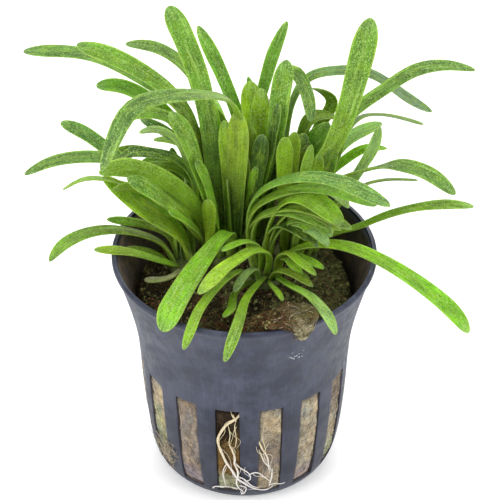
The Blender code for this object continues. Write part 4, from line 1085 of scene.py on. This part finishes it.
def mark_inside(piece):
    """Paints 1 on the pot's inner wall and 0 on the rest, with the rim's edge between them."""
    points = coordinates(piece)
    depth = pot_radius(points[:, 2]) - np.hypot(points[:, 0], points[:, 1])
    inside = np.clip((depth - 0.45) / 0.4, 0.0, 1.0) * (points[:, 2] > 1.0)
    inside *= np.clip((POT_HEIGHT + 0.2 - points[:, 2]) / 0.4, 0.0, 1.0)
    piece.data.attributes["inside"].data.foreach_set("value", inside.astype(np.float32))


def wall_inside(depth):
    """The pot's outline, moved in by a depth, with no point lower than that depth."""
    moved = []
    for i in range(1, len(POT_OUTSIDE)):
        before = POT_OUTSIDE[i - 1]
        after = POT_OUTSIDE[min(i + 1, len(POT_OUTSIDE) - 1)]
        along = Vector((after[0] - before[0], after[1] - before[1])).normalized()
        moved.append((POT_OUTSIDE[i][0] + along.y * depth, max(POT_OUTSIDE[i][1] - along.x * depth, depth)))
    return moved


def plug_radius(heights):
    """The radius at which the plug meets the pot's wall, at each height."""
    wall = np.array(wall_inside(WALL + GAP)[::-1])
    return np.interp(heights, wall[:, 1], wall[:, 0])


def slot_window(points):
    """How far each point lies in a slot: 1 in the open, 0 behind a bar, with soft edges."""
    angles = np.degrees(np.arctan2(points[:, 1], points[:, 0]))
    sector = 360.0 / SLOT_COUNT
    off = np.abs((angles - FIRST_SLOT_ANGLE + 0.5 * sector) % sector - 0.5 * sector)
    aside = 0.5 * SLOT_WIDTH - np.radians(off) * np.hypot(points[:, 0], points[:, 1])
    under_top = np.clip((SLOT_TOP - points[:, 2]) / 0.6, 0.0, 1.0)
    over_foot = np.clip((points[:, 2] - SLOT_BOTTOM) / 0.3, 0.0, 1.0)
    return np.clip(aside / 0.3, 0.0, 1.0) * (under_top * over_foot)


def plug_shape():
    """The plug and its lumps, fused in one skin by a voxel remesh."""
    filled = [point for point in wall_inside(WALL + GAP) if point[1] < PLUG_WALL_BELOW]
    profile = [*PLUG_SHOULDER, *filled, (0.0, WALL + GAP)]
    work = bmesh.new()
    corners = [work.verts.new((radius * MM, 0.0, height * MM)) for radius, height in profile]
    line = [work.edges.new(pair) for pair in zip(corners[:-1], corners[1:])]
    bmesh.ops.spin(work, geom=corners + line, axis=(0, 0, 1), cent=(0, 0, 0), steps=PLUG_SIDES,
                   angle=2.0 * np.pi, use_merge=True)
    bmesh.ops.remove_doubles(work, verts=work.verts, dist=1e-6)
    bmesh.ops.recalc_face_normals(work, faces=work.faces)
    for place, (along, outwards, upwards) in LUMPS:
        turn = Matrix.Rotation(np.radians(place[0]), 4, "Z")
        size = Matrix.Diagonal((outwards * MM, along * MM, upwards * MM, 1.0))
        matrix = Matrix.Translation(around(*place) * MM) @ turn @ size
        bmesh.ops.create_icosphere(work, subdivisions=4, radius=1.0, matrix=matrix)
    mesh = bpy.data.meshes.new("plug_cage")
    work.to_mesh(mesh)
    work.free()
    cage = linked("plug_cage", mesh)
    fuse = cage.modifiers.new("fuse", "REMESH")
    fuse.mode = "VOXEL"
    fuse.voxel_size = PLUG_VOXEL * MM
    apply_modifiers(cage)
    points = coordinates(cage)
    faces = [tuple(face.vertices) for face in cage.data.polygons]
    bpy.data.objects.remove(cage)
    return points, faces


def lump_nearness(points):
    """1 inside the lump at the front right, falling to 0 around it."""
    nearness = np.zeros(len(points))
    for place, (along, _, upwards) in LUMPS:
        away = np.linalg.norm((points - around(*place)) / (along + 0.6, along + 0.6, upwards + 0.6), axis=1)
        nearness = np.maximum(nearness, 1.0 - smooth_step(away, 0.75, 1.25))
    return nearness


def slot_colours(points):
    """The rockwool's side: each slot has three tones, its own fades between them, and painted shadow under
    its top.
    """
    angles = np.degrees(np.arctan2(points[:, 1], points[:, 0]))
    slots = np.round((angles - FIRST_SLOT_ANGLE) * SLOT_COUNT / 360.0).astype(int) % SLOT_COUNT
    tones = np.array([[STONE_WOOL[name] for name in names] for names in SLOT_TONES])
    top, middle, foot = np.moveaxis(tones[slots], 1, 0)
    wander = 5.0 * fractal(points + 15.0, (0.2, 0.2, 0.1), 2)
    colours = blended(foot, middle, smooth_step(points[:, 2] + 0.5 * wander, 7.0, 11.0))
    colours = blended(colours, top, smooth_step(points[:, 2] + wander, 14.0, 22.0))
    level = fractal(points, (0.25, 0.25, 0.15))[:, None]
    clumps = fractal(points + 70.0, (1.0, 1.0, 0.5))[:, None]
    hue = fractal(points + 40.0, (0.3, 0.3, 0.2))[:, None]
    # Painted shadow: the rockwool darkens just under each slot's top.
    shade = smooth_step(points[:, 2] + 2.0 * level[:, 0], SLOT_TOP - 2.0, SLOT_TOP + 0.4)[:, None]
    warm = np.array((0.16, 0.04, -0.14)) * hue + np.array((0.36, 0.28, 0.14)) * clumps
    return colours * (0.93 + 0.3 * level + warm) * (1.0 - 0.45 * shade)


def wool_colours(points):
    """Region colours of the plug: its side by slot, peat and moss on top, and rust to khaki on the lump."""
    broad = fractal(points, (0.22, 0.22, 0.14))
    other = fractal(points + 40.0, (0.3, 0.3, 0.2))
    mossy = fractal(points, (0.35, 0.35, 0.35)) + 0.03 * points[:, 0]
    rusty = fractal(points + 90.0, (0.3, 0.3, 0.3))
    top = blended(STONE_WOOL["peat"], STONE_WOOL["moss"], smooth_step(mossy, -0.1, 0.5))
    top = blended(top, STONE_WOOL["rust"], smooth_step(rusty, 0.15, 0.6) * 0.8)
    colours = blended(slot_colours(points), top, smooth_step(points[:, 2], 39.0, 42.0))

    leftmost = 1.0 - smooth_step(points[:, 0] + 2.0 * other, 6.8, 9.8)
    over = blended(STONE_WOOL["khaki"], STONE_WOOL["rust"], leftmost)
    pale = smooth_step(broad, 0.1, 0.6) * smooth_step(points[:, 0], 8.0, 10.0) * 0.4
    over = blended(over, STONE_WOOL["tan"], pale)
    fringe = smooth_step(np.hypot(points[:, 0], points[:, 1]), 26.0, 27.4) * 0.7
    over = blended(over, STONE_WOOL["cream"], fringe)
    return blended(colours, over, lump_nearness(points))


def build_plug(material):
    """The fibre plug: it bulges into the slots, and its top and lump are rough."""
    points, faces = plug_shape()
    flat = np.hypot(points[:, 0], points[:, 1])
    outward = np.stack((points[:, 0] / flat, points[:, 1] / flat, np.zeros(len(points))), axis=1)
    on_side = smooth_step(flat, plug_radius(points[:, 2]) - 1.0, plug_radius(points[:, 2]) - 0.4)
    on_side *= 1.0 - smooth_step(points[:, 2], 36.0, 39.0)
    window = slot_window(points) * on_side
    tufts = fractal(points, (0.9, 0.9, 0.5), 4)
    lumps = fractal(points, (0.28, 0.28, 0.2), 2)
    moved = points + outward * (window * (0.95 + 0.25 * lumps + 0.2 * tufts))[:, None]

    lump = lump_nearness(points)
    on_top = smooth_step(points[:, 2], 42.5, 44.0)
    rough = fractal(points, (0.5, 0.5, 0.5), 4) * 0.6 + fractal(points, (1.6, 1.6, 1.6), 2) * 0.2
    moved[:, 2] += on_top * rough * (1.0 - 0.6 * lump)
    away = unit(points - around(*LUMPS[0][0]))
    bulge = 0.8 * fractal(points + 7.0, (0.4, 0.4, 0.4)) + 0.3 * fractal(points, (1.5, 1.5, 1.5), 2)
    moved += away * (lump * on_top * bulge)[:, None]
    piece = new_piece("rockwool_body", moved, faces, material, ("rockwool_plug",))
    tint(piece, wool_colours(points))
    return piece


def strand_mesh(strands, sides):
    """Points and faces of many thin tubes; each strand is (points, radii)."""
    turns = np.linspace(0.0, 2.0 * np.pi, sides, endpoint=False)
    points = []
    faces = []
    start = 0
    for line, radii in strands:
        tangent = unit(np.gradient(line, axis=0))
        side = unit(np.cross(tangent, np.array((0.31, 0.53, 0.79))))
        other = np.cross(tangent, side)
        ring = side[:, None] * np.cos(turns)[:, None] + other[:, None] * np.sin(turns)[:, None]
        points.append((line[:, None] + radii[:, None, None] * ring).reshape(-1, 3))
        faces += [[corner + start for corner in face] for face in loft_faces(len(line), sides)]
        start += len(line) * sides
    return np.concatenate(points), faces


def slot_fibres():
    """Loose strands of rockwool that lie in the slots at all angles, as (points, radius, colour)."""
    rng = np.random.default_rng(SEEDS["slot_fibres"])
    strands = []
    steps = np.linspace(-0.5, 0.5, 8)
    for k, tones in enumerate(SLOT_TONES):
        middle = np.radians(FIRST_SLOT_ANGLE + k * 360.0 / SLOT_COUNT)
        for _ in range(ROOTED_SLOT_FIBRES if k == 0 else SLOT_FIBRES):
            tilt = np.radians(rng.uniform(-80.0, 80.0))
            length = rng.uniform(1.5, 6.0)
            heights = rng.uniform(SLOT_BOTTOM + 1.0, SLOT_TOP - 1.0) + steps * length * np.cos(tilt)
            heights = np.clip(heights, SLOT_BOTTOM + 0.4, SLOT_TOP - 0.3)
            off = rng.uniform(-1.9, 1.9) + steps * length * np.sin(tilt)
            off += 0.3 * np.sin(steps * rng.uniform(3.0, 12.0) + rng.uniform(0.0, 6.0))
            distance = plug_radius(heights) + 0.98 + 0.2 * np.cos(steps * 3.0) * rng.uniform(0.0, 1.2)
            angle = middle + np.clip(off, -2.1, 2.1) / distance
            radius = rng.uniform(0.03, 0.06)
            tone = STONE_WOOL[tones[sum(heights.mean() < top for top in TONE_HEIGHTS)]]
            line = polar(angle, distance, heights + 0.02 * steps)
            strands.append((line, radius, np.array(tone) * rng.uniform(0.8, 1.5)))
    return strands


def draped(tree, surface, start, way, length, count):
    """A line over a rough surface: evenly stepped along a way, and then laid on the nearest points."""
    line = []
    for step in np.linspace(0.0, length, count):
        nearest = tree.find(Vector(start + way * step))[1]
        line.append(surface[nearest])
    line = np.array(line)
    for _ in range(2):
        line[1:-1] = 0.25 * line[:-2] + 0.5 * line[1:-1] + 0.25 * line[2:]
    return line


def surface_tree(surface):
    tree = KDTree(len(surface))
    for i, point in enumerate(surface):
        tree.insert(Vector(point), i)
    tree.balance()
    return tree


def surface_fibres(surface):
    """Curled strands on the plug's top and a thick mat over its lump, as (points, radius, colour)."""
    rng = np.random.default_rng(SEEDS["surface_fibres"])
    ground = surface[surface[:, 2] > 43.2]
    on_lump = lump_nearness(ground) * (ground[:, 2] > 45.8)
    tree = surface_tree(ground)
    strands = []
    for chosen, (count, tones, lengths, sizes) in (
            (np.flatnonzero(on_lump < 0.5), TOP_FIBRES), (np.flatnonzero(on_lump > 0.4), LUMP_FIBRES)):
        for pick in rng.choice(chosen, count):
            way = rng.normal(size=3)
            way[2] *= 0.6
            way = unit(way) + 0.25 * rng.normal(size=3)
            line = draped(tree, ground, ground[pick], way, rng.uniform(*lengths), 8)
            if np.linalg.norm(np.diff(line, axis=0), axis=1).min() < 0.02:
                continue
            line += rng.normal(size=(8, 3)) * 0.05
            line[:, 2] += 0.08 + 0.5 * np.sin(np.linspace(0.0, np.pi, 8)) * rng.uniform(0.0, 1.0) ** 3
            radius = rng.uniform(*sizes)
            tone = STONE_WOOL[rng.choice(tones)]
            if ground[pick, 0] < 8.2 and on_lump[pick] > 0.4:
                tone = STONE_WOOL[rng.choice(("rust", "brown", "gold"))]
            strands.append((line, radius, np.array(tone) * rng.uniform(0.6, 1.35)))
    return strands


def pot_scraps():
    """A tangle of scraps that clings to the pot's lower left, as (points, radius, colour)."""
    rng = np.random.default_rng(SEEDS["scraps"])
    strands = []
    steps = np.linspace(0.0, 1.0, 9)
    for _ in range(SCRAP_COUNT):
        degrees = SCRAP_PLACE[0] + rng.normal() * 6.0
        height = SCRAP_PLACE[1] + rng.normal() * 2.2
        bend = rng.uniform(0.0, 6.3, 3)
        degrees = degrees + rng.uniform(-9.0, 9.0) * steps + 1.5 * np.sin(6.0 * steps + bend[0])
        height = height + rng.uniform(-1.5, 1.5) * steps + 0.6 * np.sin(5.0 * steps + bend[1])
        out = 0.12 + 0.25 * (1.0 + np.sin(4.0 * steps + bend[2]))
        line = around(degrees, pot_radius(height) + out, height)
        radius = rng.uniform(0.03, 0.06)
        tone = STONE_WOOL[rng.choice(("umber", "mauve", "tan", "straw", "cream", "cream"))]
        strands.append((line, radius, np.array(tone) * rng.uniform(0.8, 1.6)))
    return strands


def build_fibres(material, surface):
    """The loose strands, as one piece for the slots, one for the plug's top and one for the pot's side."""
    for name, strands in (("slot_fibres", slot_fibres()), ("surface_fibres", surface_fibres(surface)),
                          ("pot_scraps", pot_scraps())):
        tubes = [(line, np.full(len(line), radius)) for line, radius, _ in strands]
        points, faces = strand_mesh(tubes, FIBRE_SIDES)
        piece = new_piece(name, points, faces, material)
        colours = [np.tile(tone, (len(line) * FIBRE_SIDES, 1)) for line, _, tone in strands]
        tint(piece, np.concatenate(colours))


def unit_pebble():
    """The points and triangles of a small icosphere."""
    work = bmesh.new()
    bmesh.ops.create_icosphere(work, subdivisions=1, radius=1.0)
    points = np.array([vert.co for vert in work.verts])
    faces = np.array([[vert.index for vert in face.verts] for face in work.faces])
    work.free()
    return points, faces


def build_crumbs(material, surface):
    """Crumbs of soil and moss over the plug's top, other than on the right of its lump."""
    rng = np.random.default_rng(SEEDS["crumbs"])
    pebble, triangles = unit_pebble()
    ground = surface[surface[:, 2] > 43.0]
    ground = ground[lump_nearness(ground) * (ground[:, 0] > 7.0) < 0.5]
    points = []
    faces = []
    colours = []
    for i, pick in enumerate(rng.choice(len(ground), CRUMB_COUNT, replace=False)):
        size = rng.uniform(0.13, 0.42) * rng.uniform(0.6, 1.3, 3)
        turn = np.array(Matrix.Rotation(rng.uniform(0.0, 6.3), 3, Vector(rng.normal(size=3)).normalized()))
        crumb = (pebble * rng.uniform(0.75, 1.25, (len(pebble), 1)) * size) @ turn.T
        points.append(crumb + ground[pick] + (0.0, 0.0, 0.08))
        faces.append(triangles + i * len(pebble))
        name = rng.choice(CRUMB_TONES)
        if ground[pick, 0] > 8.0 and name in ("peat", "rust"):
            name = "moss"
        colours.append(np.tile(np.array(STONE_WOOL[name]) * rng.uniform(0.3, 2.2), (len(pebble), 1)))
    faces = np.concatenate(faces).tolist()
    piece = new_piece("soil_crumbs", np.concatenate(points), faces, material)
    tint(piece, np.concatenate(colours))


def root_line(points):
    """The path of a root at close steps, its length and the share of it at each step."""
    route = [around(degrees - 90.0, pot_radius(height) + out, height) for degrees, height, out in points]
    length = spline(route, (0.0, 1.0))[1]
    shares = np.linspace(0.0, 1.0, max(int(length / ROOT_STEP), 6))
    return spline(route, shares)[0], length, shares


def rootlet_points(points, rng):
    """A hair-thin root beside another: the same points, each moved sideways and a little outwards."""
    moved = []
    for degrees, height, out in points[1:]:
        aside = rng.uniform(-ROOTLET_WANDER, ROOTLET_WANDER)
        moved.append((degrees + aside, max(height + 0.25 * aside, SLOT_BOTTOM - 1.0), max(out, 0.1) + 0.1))
    return moved


def build_roots(material):
    """The roots in and below two front slots: tapering and knotty, with hair-thin ones beside them."""
    for name, rows in ROOTS.items():
        strands = []
        for number, (start, end, points) in enumerate(rows):
            rng = np.random.default_rng(SEEDS["roots"] + number)
            line, length, shares = root_line(points)
            knots = 1.0 + 0.1 * np.sin(shares * length * 1.9 + rng.uniform(0.0, 6.0))
            swell = ROOT_SWELL * start * np.sin(np.pi * shares)
            radii = 0.5 * (start + (end - start) * shares + swell) * knots
            radii[-1] *= 0.4
            strands.append((line, radii))
            if len(points) > 4:
                line, length, shares = root_line(rootlet_points(points, rng))
                strands.append((line, 0.5 * ROOTLET_DIAMETER * (1.0 - 0.6 * shares)))
        points, faces = strand_mesh(strands, ROOT_SIDES)
        new_piece(name + "_strands", points, faces, material, (name,))


def build_floor():
    mesh = bpy.data.meshes.new("studio_floor")
    work = bmesh.new()
    bmesh.ops.create_grid(work, x_segments=1, y_segments=1, size=FLOOR_REACH)
    work.to_mesh(mesh)
    work.free()
    mesh.materials.append(floor_finish())
    linked("studio_floor", mesh)


def aim(thing, target):
    way = Vector(target) - thing.location
    thing.rotation_euler = way.to_track_quat("-Z", "Y").to_euler()


def build_camera():
    data = bpy.data.cameras.new("camera")
    data.sensor_width = SENSOR_WIDTH
    data.lens = CAMERA_LENS
    camera = linked("camera", data)
    rise = np.radians(CAMERA_ELEVATION)
    target = Vector(CAMERA_AIM) * MM
    camera.location = target + CAMERA_DISTANCE * MM * Vector((0.0, -np.cos(rise), np.sin(rise)))
    aim(camera, target)
    bpy.context.scene.camera = camera


def build_lights():
    for name, (place, size, power) in LIGHTS.items():
        data = bpy.data.lights.new(name, "AREA")
        data.shape = "SQUARE"
        data.size = size
        data.energy = power
        light = linked(name, data)
        light.location = place
        aim(light, Vector(CAMERA_AIM) * MM)
    world = bpy.data.worlds.new("studio")
    world.use_nodes = True
    background = world.node_tree.nodes["Background"]
    background.inputs["Color"].default_value = (1.0, 1.0, 1.0, 1.0)
    background.inputs["Strength"].default_value = SKY_STRENGTH
    bpy.context.scene.world = world
    bpy.context.scene.view_settings.view_transform = "Standard"


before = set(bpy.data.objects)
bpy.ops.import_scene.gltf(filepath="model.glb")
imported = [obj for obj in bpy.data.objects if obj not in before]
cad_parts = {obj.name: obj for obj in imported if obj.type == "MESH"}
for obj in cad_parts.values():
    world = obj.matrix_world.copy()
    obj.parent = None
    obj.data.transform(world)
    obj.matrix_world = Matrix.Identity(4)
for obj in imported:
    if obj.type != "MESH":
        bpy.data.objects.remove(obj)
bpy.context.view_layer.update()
build_camera()
build_floor()
build_lights()
build_pot(pot_finish())
plug_surface = coordinates(build_plug(wool_finish()))
loose = tinted_finish("loose_fibre", 0.9, 0.7, 1.25)
build_fibres(loose, plug_surface)
build_crumbs(loose, plug_surface)
build_crowns(tinted_finish("crown", 0.6, 0.7, 1.2))
build_leaves(leaf_finish())
build_roots(root_finish())
